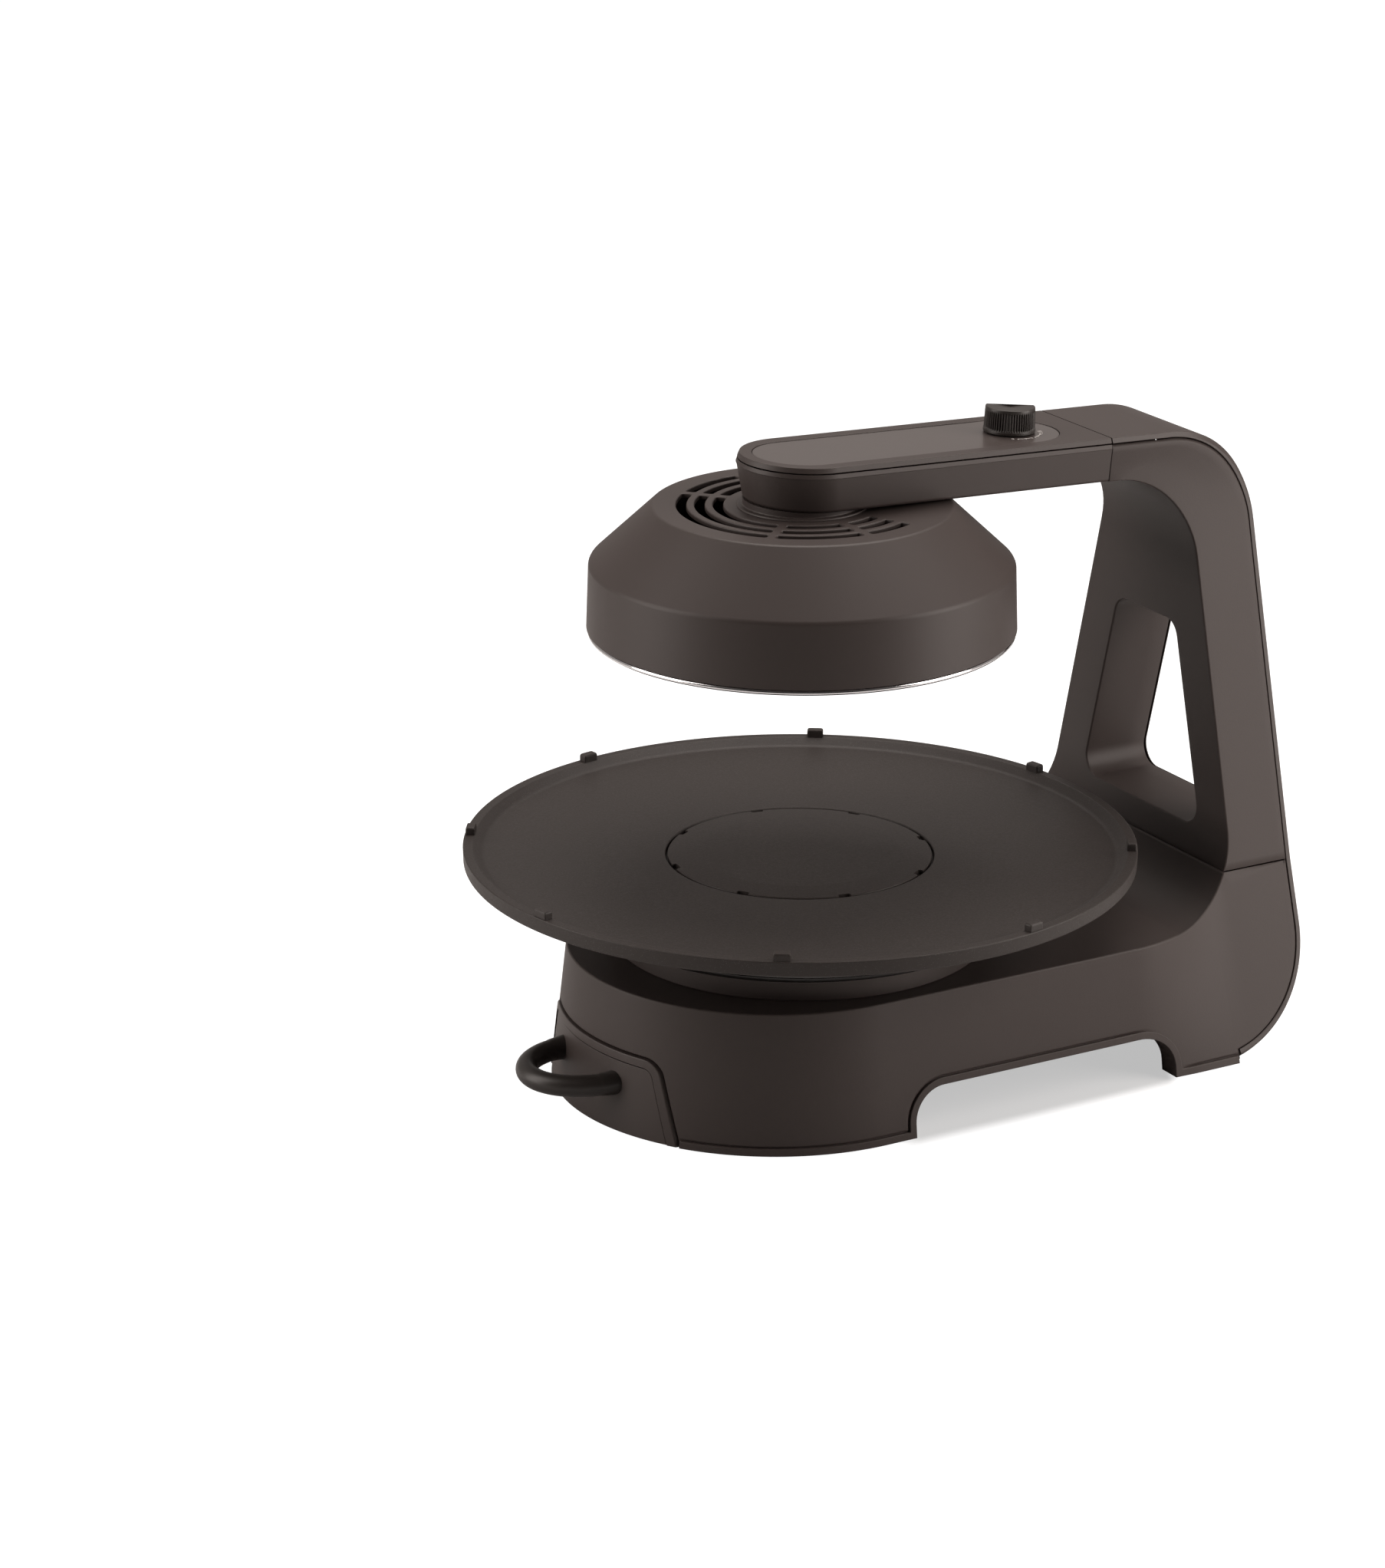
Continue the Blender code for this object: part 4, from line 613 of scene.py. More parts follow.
@dataclass(frozen=True)
class Finishes:
    """The grill's finishes."""
    # Charcoal moulding: warm, matte, with a fine tooth that breaks the light softly
    housing: Finish = Moulded("charcoal_moulded_abs", "#3a3331", 0.52, 1.0, 0.035, 0.10, 0.32)
    # The head and arm come from a finer mould: smoother to the eye than the base
    fine: Finish = Moulded("charcoal_fine_abs", "#393230", 0.46, 0.7, 0.018, 0.06, 0.34)
    # Rear cover and drawer front: the same charcoal, a touch smoother
    trim: Finish = Moulded("charcoal_trim_abs", "#3b3432", 0.44, 0.8, 0.015, 0.05, 0.36)
    # Inset panel: smooth pad-printed strip that catches the light from above
    panel: Finish = Glossy("charcoal_gloss_panel", "#47403e", 0.30, 0.25, 9.0)
    # Knob and grip: near-black nylon with a satin surface
    satin: Finish = Moulded("black_satin_nylon", "#2c2826", 0.38, 0.6, 0.010, 0.05, 0.42)
    # Inner mouldings: plain dark plastic
    inner: Finish = Moulded("dark_inner_moulding", "#221f1e", 0.55, 0.9, 0.020, 0.06, 0.30)
    # Turntable drum: stoved enamel, black with a soft gloss
    enamel: Finish = Glossy("black_stoved_enamel", "#0e0c0c", 0.34, 0.0, 15.0)
    # Drum's rolled bead: the same enamel where it pools thick and glassy
    bead: Finish = Glossy("black_glassy_bead", "#141212", 0.10, 1.0, 15.0)
    # Pan: speckled nonstick film on pebbled cast aluminium
    nonstick: Finish = Nonstick("speckled_nonstick_cast", "#2c2725", 0.50)
    # Guard: bright nickel-chrome plating on drawn wire
    chrome: Finish = Metal("chrome_plated_wire", "#dcdcde", 0.10, 0.6, 0.002)
    # Reflector and tray: spun aluminium, polished
    polished: Finish = Metal("polished_spun_aluminium", "#d8d8da", 0.20, 0.5, 0.006)
    # Screws and cut-out: zinc-plated steel, dull and faintly warm
    zinc: Finish = Metal("zinc_plated_steel", "#a9a8a4", 0.38, 0.3, 0.006)
    # Inlet pins: bare brass
    brass: Finish = Metal("bare_brass", "#c09a52", 0.30, 0.3, 0.004)
    # Heater tubes: frosted quartz with the wire behind it
    quartz: Finish = Quartz("frosted_quartz_tube", "#d9cfc6", 0.35)
    # Stands and terminal block: unglazed steatite, chalky white
    ceramic: Finish = Moulded("unglazed_steatite", "#ded9cc", 0.70, 0.8, 0.030, 0.05, 0.30)
    # Feet: moulded rubber, deep and dry
    rubber: Finish = Moulded("moulded_rubber", "#1d1c1c", 0.80, 0.9, 0.040, 0.08, 0.20)
    # Bearing: natural acetal, waxy and pale
    acetal: Finish = Moulded("natural_acetal", "#d8d5cb", 0.40, 1.2, 0.010, 0.03, 0.45)
    # Dial scale: matt white ink
    ink: Finish = Moulded("white_scale_ink", "#d6d3d0", 0.60, 0.5, 0.002, 0.03, 0.20)


FINISHES = Finishes()


# The C-frame's form, shared by base, post, cover, drawer and arm

@dataclass(frozen=True)
class FrameForm:
    """Sizes of the C-frame, and the surface that its sides and round front lie on."""
    front_x: float = -0.0185
    base_half_width: float = 0.1322
    base_draft: float = 0.1107
    deck_z: float = 0.0842
    seam_z: float = 0.1107
    lip: float = 0.0045
    lip_proud: float = 0.0008
    arch_front: float = 0.0017
    arch_rear: float = 0.1852
    arch_h: float = 0.0285
    arch_r: float = 0.0200
    arch_rear_r: Floats = (0.0270, 0.0215)
    arch_depth: float = 0.0150
    post_front: float = 0.2450
    back_x: float = 0.2920
    fillet_r: float = 0.0500
    low_corner_r: float = 0.0730
    top_corner_r: float = 0.0600
    post_seam_half: float = 0.0978
    post_taper: float = 0.2554
    flare_taper: float = 0.3099
    flare_start: float = 0.1600
    cover_depth: float = 0.0062
    bevel_in: float = 0.0048
    bevel_deep: float = 0.0032
    cover_end: float = 0.2345
    arm_seam_x: float = 0.1900
    arm_seam_z: float = 0.3727
    arm_slope: float = 0.0384
    arm_h: float = 0.0268
    arm_half: float = 0.0397
    arm_draft: float = 0.0022
    lid_in: float = 0.0021
    parting_in: float = 0.0010
    parting_deep: float = 0.0033
    rim_deep: float = 0.0061
    edge_r: float = 0.0011

    @property
    def fillet_centre(self) -> Pair:
        """Centre of the C's lower inner corner in the side view."""
        return self.post_front - self.fillet_r, self.deck_z + self.fillet_r

    @property
    def flare_end(self) -> float:
        """Where the inner corner passes the joint line."""
        cx, cz = self.fillet_centre
        return cx + math.sqrt(self.fillet_r ** 2 - (cz - self.seam_z) ** 2)

    @property
    def low_centre(self) -> Pair:
        """Centre of the outer corner at the foot."""
        return self.back_x - self.low_corner_r, self.low_corner_r

    def tangent_z(self, x: float, radius: float, depth: float) -> float:
        """Height of the centre of an arc that touches the arm's top line, moved down by a depth."""
        run = (x - self.arm_seam_x) * math.sin(self.arm_slope)
        return self.arm_seam_z - (radius + depth + run) / math.cos(self.arm_slope)

    @property
    def top_centre(self) -> Pair:
        """Centre of the outer corner at the top."""
        x = self.back_x - self.top_corner_r
        return x, self.tangent_z(x, self.top_corner_r, 0.0)

    @property
    def arm_lean(self) -> Array:
        """Direction out of the arm's top in the side view."""
        return np.array((math.sin(self.arm_slope), math.cos(self.arm_slope)))

    @property
    def arm_seam(self) -> Array:
        """Point at which the arm's top meets the post, half a gap behind the seam."""
        ahead = np.array((math.cos(self.arm_slope), -math.sin(self.arm_slope)))
        return np.array((self.arm_seam_x, self.arm_seam_z)) + ahead * FIT / 2

    @property
    def inner_top_centre(self) -> Pair:
        """Centre of the C's upper inner corner."""
        x = self.post_front - self.fillet_r
        return x, self.tangent_z(x, self.fillet_r, self.arm_h)

    @property
    def low_end_deg(self) -> float:
        """Angle at which the cover ends under the foot."""
        return math.degrees(math.asin((self.cover_end - self.low_centre[0]) / self.low_corner_r)) - 90

    @property
    def turn_deg(self) -> float:
        """Angle of the turn from the upright back to the arm's top."""
        return 90 - math.degrees(self.arm_slope)

    def towards_arm(self, out: Array) -> Array:
        """Share of the turn from post to arm that lies behind a section, from its outward direction."""
        return np.arcsin(np.clip(out[:, 1] / math.cos(self.arm_slope), 0.0, 1.0)) / (math.pi / 2)

    def base_half(self, z: Array) -> Array:
        """Half-width of the base at a height: the floor's half-width less draft times height."""
        return self.base_half_width - self.base_draft * np.asarray(z, float)

    def post_half(self, z: Array) -> Array:
        """Half-width of the post: a straight taper s eased into the arm's half a by a hyperbola."""
        z = np.asarray(z, float)
        taper = np.where(z > self.seam_z, self.post_taper, self.flare_taper)
        straight = self.post_seam_half - taper * (z - self.seam_z)
        return (straight + self.arm_half + np.hypot(straight - self.arm_half, 0.003)) / 2

    def side_half(self, x: Array, z: Array) -> Array:
        """Half-width at a point of the side view: the base's blends into the post's by 3 t^2 - 2 t^3."""
        t = np.clip((x - self.flare_start) / (self.flare_end - self.flare_start), 0.0, 1.0)
        blend = t * t * (3 - 2 * t)
        low = (1 - blend) * self.base_half(z) + blend * self.post_half(z)
        return np.where(np.asarray(z) > self.seam_z, self.post_half(z), low)

    def skirt(self, u: Array, z: Array, out: float | Array = 0.0) -> Array:
        """Points of the left side: u is x along the side and goes on round the front as an arc length.

        Args:
            u: distance along the side.
            z: height.
            out: how far the points stand out of the surface.

        Returns:
            (..., 3) points.
        """
        u, z, out = np.broadcast_arrays(np.asarray(u, float), np.asarray(z, float), np.asarray(out, float))
        angle = (self.front_x - u) / self.base_half_width
        radius = self.base_half(z) + out
        on_side = u >= self.front_x
        x = np.where(on_side, u, self.front_x - radius * np.sin(angle))
        y = np.where(on_side, self.side_half(u, z) + out, radius * np.cos(angle))
        return np.stack([x, y, z], -1)

    def front_u(self, y: Array, z: Array) -> Array:
        """The u of a point of the round front, from its distance to the middle plane."""
        return self.front_x - self.base_half_width * np.arccos(np.clip(y / self.base_half(z), -1, 1))


FORM = FrameForm()


@dataclass
class Opening:
    """The trapezoid opening through the post, its corners round."""
    low_z: float = 0.1270
    top_z: float = 0.2495
    low_half: float = 0.0627
    top_half: float = 0.0302
    radius: float = 0.0120
    across: int = 26
    upward: int = 36
    corner: int = 6

    def outline(self, extra: float) -> Array:
        """The outline in (y, z), larger by a margin, its points shared out over its four sides.

        Args:
            extra: the margin.

        Returns:
            (2 (across + upward), 2) points that start in the middle of the lower left corner.
        """
        lean = (self.low_half - self.top_half) / (self.top_z - self.low_z)
        slant = math.hypot(1.0, lean)
        low, top = self.low_z - extra, self.top_z + extra
        half = [self.low_half + extra * slant + extra * lean, self.top_half + extra * slant - extra * lean]
        corners = [(-half[0], low), (half[0], low), (half[1], top), (-half[1], top)]
        soft = softened(corners, self.radius + extra, 2 * self.corner, closed=True).reshape(4, -1, 2)
        sides = []
        for i, count in enumerate((self.across, self.upward, self.across, self.upward)):
            here, ahead = soft[i][self.corner:], soft[(i + 1) % 4][:self.corner + 1]
            inner = np.linspace(0, 1, count - 2 * self.corner + 1)[1:-1, None]
            sides.append(np.concatenate([here, here[-1] + (ahead[0] - here[-1]) * inner, ahead[:-1]]))
        return np.concatenate(sides)

    def frame(self, heights: Array, half: Array) -> Array:
        """The outline of the panel round the opening, its points matched with the opening's.

        Args:
            heights: heights of the side points, from the foot up.
            half: the panel's half-width at each of them.

        Returns:
            (2 (across + upward), 2) points in (y, z).
        """
        span = np.linspace(-1, 1, self.across + 1)
        bottom = lifted(span * half[0], heights[0])[:-1]
        right = np.stack([half, heights], -1)[:-1]
        top = lifted(-span * half[-1], heights[-1])[:-1]
        left = np.stack([-half[::-1], heights[::-1]], -1)[:-1]
        return np.concatenate([bottom, right, top, left])


OPENING = Opening()


@dataclass(frozen=True)
class Bay:
    """The drawer front's outline, which the bay in the base follows at a gap."""
    top_z: float = 0.0480
    low_z: float = 0.0020
    top_half: float = 0.0607
    low_half: float = 0.0761
    corner_r: float = 0.0120

    def outline(self, grow: float, foot_z: float, radius: float, counts: Sequence[int]) -> Array:
        """Half of the outline in (y, z), from the top's middle down the side.

        Args:
            grow: how far outside the drawer front's edge it runs.
            foot_z: height at which it ends.
            radius: its corner's radius.
            counts: segments along the top, in the corner and down the side.

        Returns:
            (n, 2) points, the same number for any sizes.
        """
        along, bend, down = counts
        lean = (self.low_half - self.top_half) / (self.top_z - self.low_z)
        top = self.top_z + grow
        half_top = self.top_half + grow * (math.hypot(1, lean) - lean)
        half_low = half_top + (top - foot_z) * lean
        corner = softened([(0.0, top), (half_top, top), (half_low, foot_z)], radius, bend)
        lead = lifted(np.linspace(0.0, corner[1][0], along + 1)[:-1], top)
        tail = corner[-2] + (corner[-1] - corner[-2]) * np.linspace(0, 1, down + 1)[1:, None]
        return np.concatenate([lead, corner[1:-1], tail])


BAY = Bay()


@dataclass
class Base:
    """The base moulding: skirt, deck, inner corner, raised border and the arches through its sides."""
    hub_hole_r: float = 0.0405
    groove: float = 0.0011
    bay_gap: float = 0.0010
    arch_margin: float = 0.0080
    border_end_deep: float = 0.0036
    border_sinks: Floats = (0.8, 0.55, 0.3, 0.1)
    lead_count: int = 34
    bend_steps: int = 14
    tail_count: int = 7
    rear_steps: int = 22

    def bay_edge(self, d: float, foot_z: float = 0.0) -> Array:
        """The edge of the drawer's bay in (u, z), from the middle down to a height, moved outwards by d."""
        grow = self.bay_gap + d
        line = BAY.outline(grow, foot_z, BAY.corner_r + grow, (15, 12, 7))
        return np.stack([FORM.front_u(line[:, 0], line[:, 1]), line[:, 1]], -1)

    def foot_edge(self, d: float, start: float, end: float) -> Array:
        """The lower edge in (u, z) from a start over the arch to an end, moved up or off the arch.

        Args:
            d: the distance.
            start: first u.
            end: last u.

        Returns:
            (n, 2) points, the same number for any distance.
        """
        steps = self.bend_steps
        lead = lifted(np.linspace(start, FORM.arch_front - self.arch_margin, self.lead_count), d)
        tail = lifted(np.linspace(FORM.arch_rear + self.arch_margin, end, self.tail_count), d)
        front, rear, top = FORM.arch_front - d, FORM.arch_rear + d, FORM.arch_h + d
        radius, back = FORM.arch_r + d, np.array(FORM.arch_rear_r) + d
        before = arc(front + radius, top - radius, radius, 180, 90, steps)
        span = np.linspace(front + radius, rear - back[0], steps)[1:-1]
        behind = arc(0.0, 0.0, 1.0, 90, 0, steps) * back + (rear - back[0], top - back[1])
        return np.concatenate([lead, [(front, d)], before, lifted(span, top), behind, [(rear, d)], tail])

    def rear_edge(self, d: float) -> Array:
        """The rear edge in (u, z), from the foot up to the joint line, moved forwards by a distance."""
        cx, cz = FORM.low_centre
        radius = FORM.low_corner_r - FORM.cover_depth - FIT - d
        foot_x = FORM.cover_end - 0.002 - d
        foot_z = cz - math.sqrt(radius ** 2 - (foot_x - cx) ** 2)
        start = math.degrees(math.atan2(foot_z - cz, foot_x - cx))
        curve = arc(cx, cz, radius, start, 0, self.rear_steps)
        rise = np.linspace(curve[-1][1], FORM.seam_z - FIT / 2, 8)[1:]
        return np.concatenate([curve, stood(rise, curve[-1][0])])

    def relief(self) -> Array:
        """How far the border stands out along the foot's edge, 0 to 1; it sinks away up the arch's rear."""
        full = np.ones(self.lead_count + 2 * self.bend_steps)
        flush = np.zeros(self.bend_steps + 2 - len(self.border_sinks))
        return np.concatenate([full, self.border_sinks, flush, [0.5], np.ones(self.tail_count - 1)])

    def lower_path(self, d: float, near: float, rear_d: float) -> tuple[Array, list[int]]:
        """The skirt's lower boundary and the columns at which its parts begin.

        Args:
            d: distance from the lower edge and the arch.
            near: distance from the drawer's bay.
            rear_d: distance from the rear edge.

        Returns:
            The (u, z) points and the columns.
        """
        bay = self.bay_edge(near, d)
        rear = self.rear_edge(rear_d)
        foot = self.foot_edge(d, bay[-1][0], rear[0][0])[1:]
        bend = self.bend_steps
        counts = [0, len(bay) - 1, self.lead_count, bend + 1, bend - 1, bend + 1, self.tail_count + 1]
        marks = np.cumsum(counts).tolist()
        return np.concatenate([bay, foot, rear]), marks

    def upper_path(self, lower: Array, marks: list[int]) -> tuple[Array, Array, int]:
        """The skirt's upper boundary, matched to the lower one: deck edge, inner corner and joint line.

        Args:
            lower: the lower boundary.
            marks: columns at which its parts begin.

        Returns:
            The (u, z) points, the direction out of the top at each, and the column where the corner begins.
        """
        cx, cz = FORM.fillet_centre
        begin = FORM.front_x - FORM.base_half_width * math.pi / 2
        turn = math.asin((cz - FORM.seam_z) / FORM.fillet_r)
        arc_length = FORM.fillet_r * (math.pi / 2 - turn)
        deck, seam = cx - begin, FORM.back_x - FORM.cover_depth - FIT - FORM.flare_end
        step = np.linalg.norm(np.diff(lower, axis=0), axis=1)
        run = np.concatenate([[0.0], np.cumsum(step)])
        keys = [0, *marks[1:], marks[6] + self.rear_steps, len(lower) - 1]
        arch = [FORM.arch_front - 0.012, FORM.arch_front + 0.020, FORM.arch_rear - 0.034]
        goals = [0.0, lower[marks[1]][0] - begin, *[x - begin for x in arch], deck - 0.004,
                 deck + arc_length * 0.62, deck + arc_length + seam * 0.45, deck + arc_length + seam]
        length = np.interp(run, run[keys], goals)
        corner = int(np.argmin(np.abs(length - deck)))
        length[corner] = deck
        joint = int(np.argmin(np.abs(length - deck - arc_length)))
        length[joint] = deck + arc_length
        angle = np.clip((length - deck) / FORM.fillet_r, 0.0, math.pi / 2 - turn)
        beyond = np.clip(length - deck - arc_length, 0.0, None)
        u = np.where(length <= deck, begin + length, cx + FORM.fillet_r * np.sin(angle) + beyond)
        z = np.where(length <= deck, FORM.deck_z, cz - FORM.fillet_r * np.cos(angle))
        z = np.minimum(z, FORM.seam_z - FIT / 2)
        up = np.stack([-np.sin(angle), np.cos(angle)], -1)
        return np.stack([u, z], -1), up, corner

    def build(self) -> None:
        """Build the skirt with its groove, the deck and the inner corner as one skin, and the border."""
        rows = []
        groove = ((0.0023, 0.0003), (0.0040, self.groove), (0.0048, self.groove), (0.0056, 0.0002),
                  (0.0064, 0.0))
        for k, (d, depth) in enumerate(groove):
            path, marks = self.lower_path(d, 0.0002 * k, 0.0003 * k)
            out = np.full(len(path), -0.0007 * (1 - k / 4) ** 2)
            out[marks[1] + 1:marks[6]] = -depth * self.relief()[1:]
            rows.append(FORM.skirt(path[:, 0], path[:, 1], out))
            last = path
        upper, up, corner = self.upper_path(last, marks)
        upper[-1] = last[-1]
        r = FORM.edge_r
        for weight in np.linspace(0, 1, 10)[1:]:
            goal = upper - up * r * weight
            path = last + (goal - last) * weight
            rows.append(FORM.skirt(path[:, 0], path[:, 1]))
        for down, inwards in eased(r, 22.5, 45.0, 67.5, 90.0):
            path = upper - up * down
            rows.append(FORM.skirt(path[:, 0], path[:, 1], -inwards))
        sides = np.array(rows)
        joint = int(np.argmax(upper[:, 1] >= FORM.seam_z - FIT / 2 - 1e-9))
        skin = Skin().grid(sides[:-4]).grid(sides[-5:, :joint + 1])
        edge, half = sides[-1], np.linspace(1, 0, 13)
        for outer in (edge[:corner + 1], spread(edge[corner:corner + 1], half)[0]):
            hub = lifted(self.hub_hole_r * heading(np.arctan2(outer[:, 1], outer[:, 0])), FORM.deck_z)
            skin.grid([outer + (hub - outer) * share for share in np.linspace(0, 1, 6)])
        skin.grid(spread(edge[corner:joint + 1], half)).mirror()
        Piece("base_shell", FINISHES.housing, Body.FRAME, Slot.HOUSING, ["base_housing"], sharp=50,
              wall=WALL).show(skin)
        self.border()

    def border(self) -> None:
        """Build the raised border: a rounded bar along the lower edge, over the arch and on to the rear."""
        start, end = float(self.bay_edge(0.0)[-1][0]) - self.bay_gap / 2, FORM.cover_end - 0.0032
        relief = self.relief()
        proud = FORM.lip_proud * relief + 0.0001 * (1 - relief)
        face = softened([(0.0, -0.004), (0.0, 1.0), (FORM.lip, 1.0), (FORM.lip, -0.0022)], 0.0005, 4)
        rows = []
        for d, out in face:
            path = self.foot_edge(max(d, 0.0), start, end)
            rows.append(FORM.skirt(path[:, 0], path[:, 1], np.where(out > 0, proud + (out - 1.0), out)))
        deep = np.full(len(path), -self.border_end_deep)
        deep[self.lead_count:-self.tail_count] = -FORM.arch_depth
        for d in (FORM.lip - 0.0015, 0.0):
            path = self.foot_edge(d, start, end)
            rows.append(FORM.skirt(path[:, 0], path[:, 1], deep))
        skin = Skin().loft(np.stack(rows, 1)).mirror()
        Piece("base_border", FINISHES.housing, Body.FRAME, Slot.TRIM, ["edge_band_left", "edge_band_right"],
              sharp=50).show(skin)


@dataclass
class Post:
    """The post's moulding with the lining of its opening, and the bevelled rear cover."""
    panel_low: float = 0.11085
    panel_top: float = 0.2720
    shell_wall: float = 0.0022
    cover_wall: float = 0.0024
    cover_plate: float = 0.0029
    cover_edge_r: float = 0.0010
    lining_edge: float = 0.0060
    turn_steps: int = 18
    cover_steps: int = 26
    panel_shares: Floats = (0.0, 0.3, 0.6, 0.85, 1.0)
    edge_degs: Floats = (30.0, 60.0, 90.0)

    def inner_x(self, z: Array) -> Array:
        """x of the front face at a height: the inner corner's arc, then straight."""
        cx, cz = FORM.fillet_centre
        drop = np.clip(cz - z, 0.0, None)
        return cx + np.sqrt(FORM.fillet_r ** 2 - drop ** 2)

    def on_front(self, flat: Array, deep: float = 0.0) -> Array:
        """Carry (y, z) points on to the front face, or to a depth behind it."""
        return np.column_stack([self.inner_x(flat[:, 1]) + deep, flat])

    def stations(self) -> tuple[Array, Array, Array]:
        """Points of the C's inner and outer lines from joint to arm, and the outward direction.

        Returns:
            Inner (x, z), outer (x, z) and direction, (n, 2) each, those of the opened panel first.
        """
        heights = np.linspace(self.panel_low, self.panel_top, OPENING.upward + 1)
        inner = np.stack([self.inner_x(heights), heights], -1)
        outer = stood(heights, FORM.back_x)
        rise = np.linspace(0, 1, 5)[1:, None]
        level = np.tile((1.0, 0.0), (len(heights) + len(rise), 1))
        top_in, top_out = np.array(FORM.inner_top_centre), np.array(FORM.top_centre)
        arc_in = arc(*top_in, FORM.fillet_r, 0, FORM.turn_deg, self.turn_steps)
        arc_out = arc(*top_out, FORM.top_corner_r, 0, FORM.turn_deg, self.turn_steps)
        more_in = inner[-1] + (arc_in[0] - inner[-1]) * rise
        more_out = outer[-1] + (arc_out[0] - outer[-1]) * rise
        turn = arc(0.0, 0.0, 1.0, 0, FORM.turn_deg, self.turn_steps)[1:]
        lean, seam = FORM.arm_lean, FORM.arm_seam
        inner = np.concatenate([inner, more_in, arc_in[1:], [seam - lean * FORM.arm_h]])
        outer = np.concatenate([outer, more_out, arc_out[1:], [seam]])
        out = np.concatenate([level, turn, [lean]])
        return inner, outer, out

    def build(self) -> None:
        """Build the post and its cover."""
        self.shell()
        self.cover()

    def side_rows(self) -> list[Array]:
        """Rows of the post's near side, ruled from the inner line's rounded edge to the cover's joint."""
        inner, outer, out = self.stations()
        turn = FORM.towards_arm(out)
        r = FORM.edge_r
        across = (outer - inner) / np.linalg.norm(outer - inner, axis=1, keepdims=True)
        joint = FORM.cover_depth + FIT + (FORM.parting_deep + 0.0006 - FORM.cover_depth - FIT) * turn
        shoulder = joint + 0.0006 + (FORM.rim_deep - FORM.parting_deep - 0.0012) * turn
        start, end = inner + across * r, outer - out * shoulder[:, None]

        def row(path: Array, inset: float | Array) -> Array:
            """Points of the side on a line in the side view, its half-width eased into the arm's."""
            share = np.linalg.norm(path - outer, axis=1) / FORM.arm_h
            arm = FORM.arm_half - FORM.arm_draft * np.clip(share, 0, 1)
            ease = turn ** 2
            half = (1 - ease) * FORM.post_half(path[:, 1]) + ease * arm - inset
            return np.stack([path[:, 0], half, path[:, 1]], -1)
        rows = [row(inner + across * back, inset) for back, inset in eased(r, 90.0, 67.5, 45.0, 22.5, 0.0)]
        rows += [row(start + (end - start) * w, 0.0) for w in np.linspace(0, 1, 9)[1:]]
        rows.append(row(outer - out * joint[:, None], 0.0003 + FORM.parting_in * turn))
        return rows

    def shell(self) -> None:
        """Build the post: its sides, the opened panel in front, the opening's lining and the upper front."""
        rows = self.side_rows()
        skin = Skin().grid(rows).mirror()
        edge = rows[0]
        count = OPENING.upward
        ring = OPENING.frame(edge[:count + 1, 2], edge[:count + 1, 1])
        hole = OPENING.outline(FORM.edge_r)
        rows = [self.on_front(ring + (hole - ring) * share) for share in self.panel_shares]
        for wide, deep in eased(FORM.edge_r, *self.edge_degs):
            rows.append(self.on_front(OPENING.outline(wide), deep))
        lining = OPENING.outline(0.0)
        back = FORM.back_x - self.cover_plate - FIT
        rows += [stood(lining, x) for x in np.linspace(FORM.post_front + self.lining_edge, back, 4)]
        skin.grid(rows, wrap_cols=True)
        skin.grid(spread(edge[count:], np.linspace(-1, 1, OPENING.across + 1)))
        Piece("post_moulding", FINISHES.housing, Body.FRAME, Slot.HOUSING, ["post_shell"], sharp=50,
              wall=self.shell_wall).show(skin)

    def cover_line(self) -> tuple[Array, Array, int]:
        """The cover's outer line, from the arm over the top corner and down to its end under the foot.

        Returns:
            The (x, z) points, the outward direction at each, and the point where the opened panel begins.
        """
        heights = np.linspace(self.panel_top, self.panel_low, OPENING.upward + 1)
        top, low = np.array(FORM.top_centre), np.array(FORM.low_centre)
        end, steps = FORM.turn_deg, self.cover_steps
        over = arc(*top, FORM.top_corner_r, end, 0, steps)
        under = arc(*low, FORM.low_corner_r, 0, FORM.low_end_deg, steps)
        drop = np.linspace(top[1], heights[0], 4)[1:-1]
        fall = np.linspace(heights[-1], low[1], 5)[1:-1]
        straight = [stood(run, FORM.back_x) for run in (drop, heights, fall)]
        path = np.concatenate([[FORM.arm_seam], over, *straight, under])
        turn_top, turn_low = arc(0, 0, 1, end, 0, steps), arc(0, 0, 1, 0, FORM.low_end_deg, steps)
        level = np.tile((1.0, 0.0), (sum(len(s) for s in straight), 1))
        out = np.concatenate([[FORM.arm_lean], turn_top, level, turn_low])
        return path, out, 1 + len(over) + len(drop)

    def cover_rows(self, path: Array, out: Array) -> list[Array]:
        """Rows of the cover's near side: a bevelled section at the post that eases into the lid's edge.

        Args:
            path: the outer line.
            out: the outward direction at each of its points.

        Returns:
            The rows, from the joint with the post to the back face.
        """
        foot, bevel = FORM.cover_depth, FORM.bevel_in
        at_post = softened([(foot, 0.0005), (foot - 0.0003, 0.0), (FORM.bevel_deep, 0.0), (0.0, bevel),
                            (0.0, bevel + 0.003)], [0, 0, 0.0016, 0.0022, 0], 5)
        slope = (FORM.lid_in - FORM.parting_in) / FORM.parting_deep
        deep = FORM.parting_deep - 0.0004
        at_arm = softened([(FORM.parting_deep, FORM.parting_in + 0.0004), (deep, FORM.parting_in),
                           (deep - 0.0004, FORM.parting_in + 0.0004 * slope), (0.0, FORM.lid_in),
                           (0.0, FORM.lid_in + 0.0025)], [0, 0, 0.0004, 0.0006, 0], 5)
        turn = FORM.towards_arm(out)[:, None]
        rows = []
        for post_point, arm_point in zip(at_post, at_arm):
            depth, inset = ((1 - turn) * post_point + turn * arm_point).T
            place = path - out * depth[:, None]
            ease = turn[:, 0] ** 2
            half = (1 - ease) * FORM.side_half(place[:, 0], place[:, 1]) + ease * FORM.arm_half - inset
            rows.append(np.stack([place[:, 0], half, place[:, 1]], -1))
        return rows

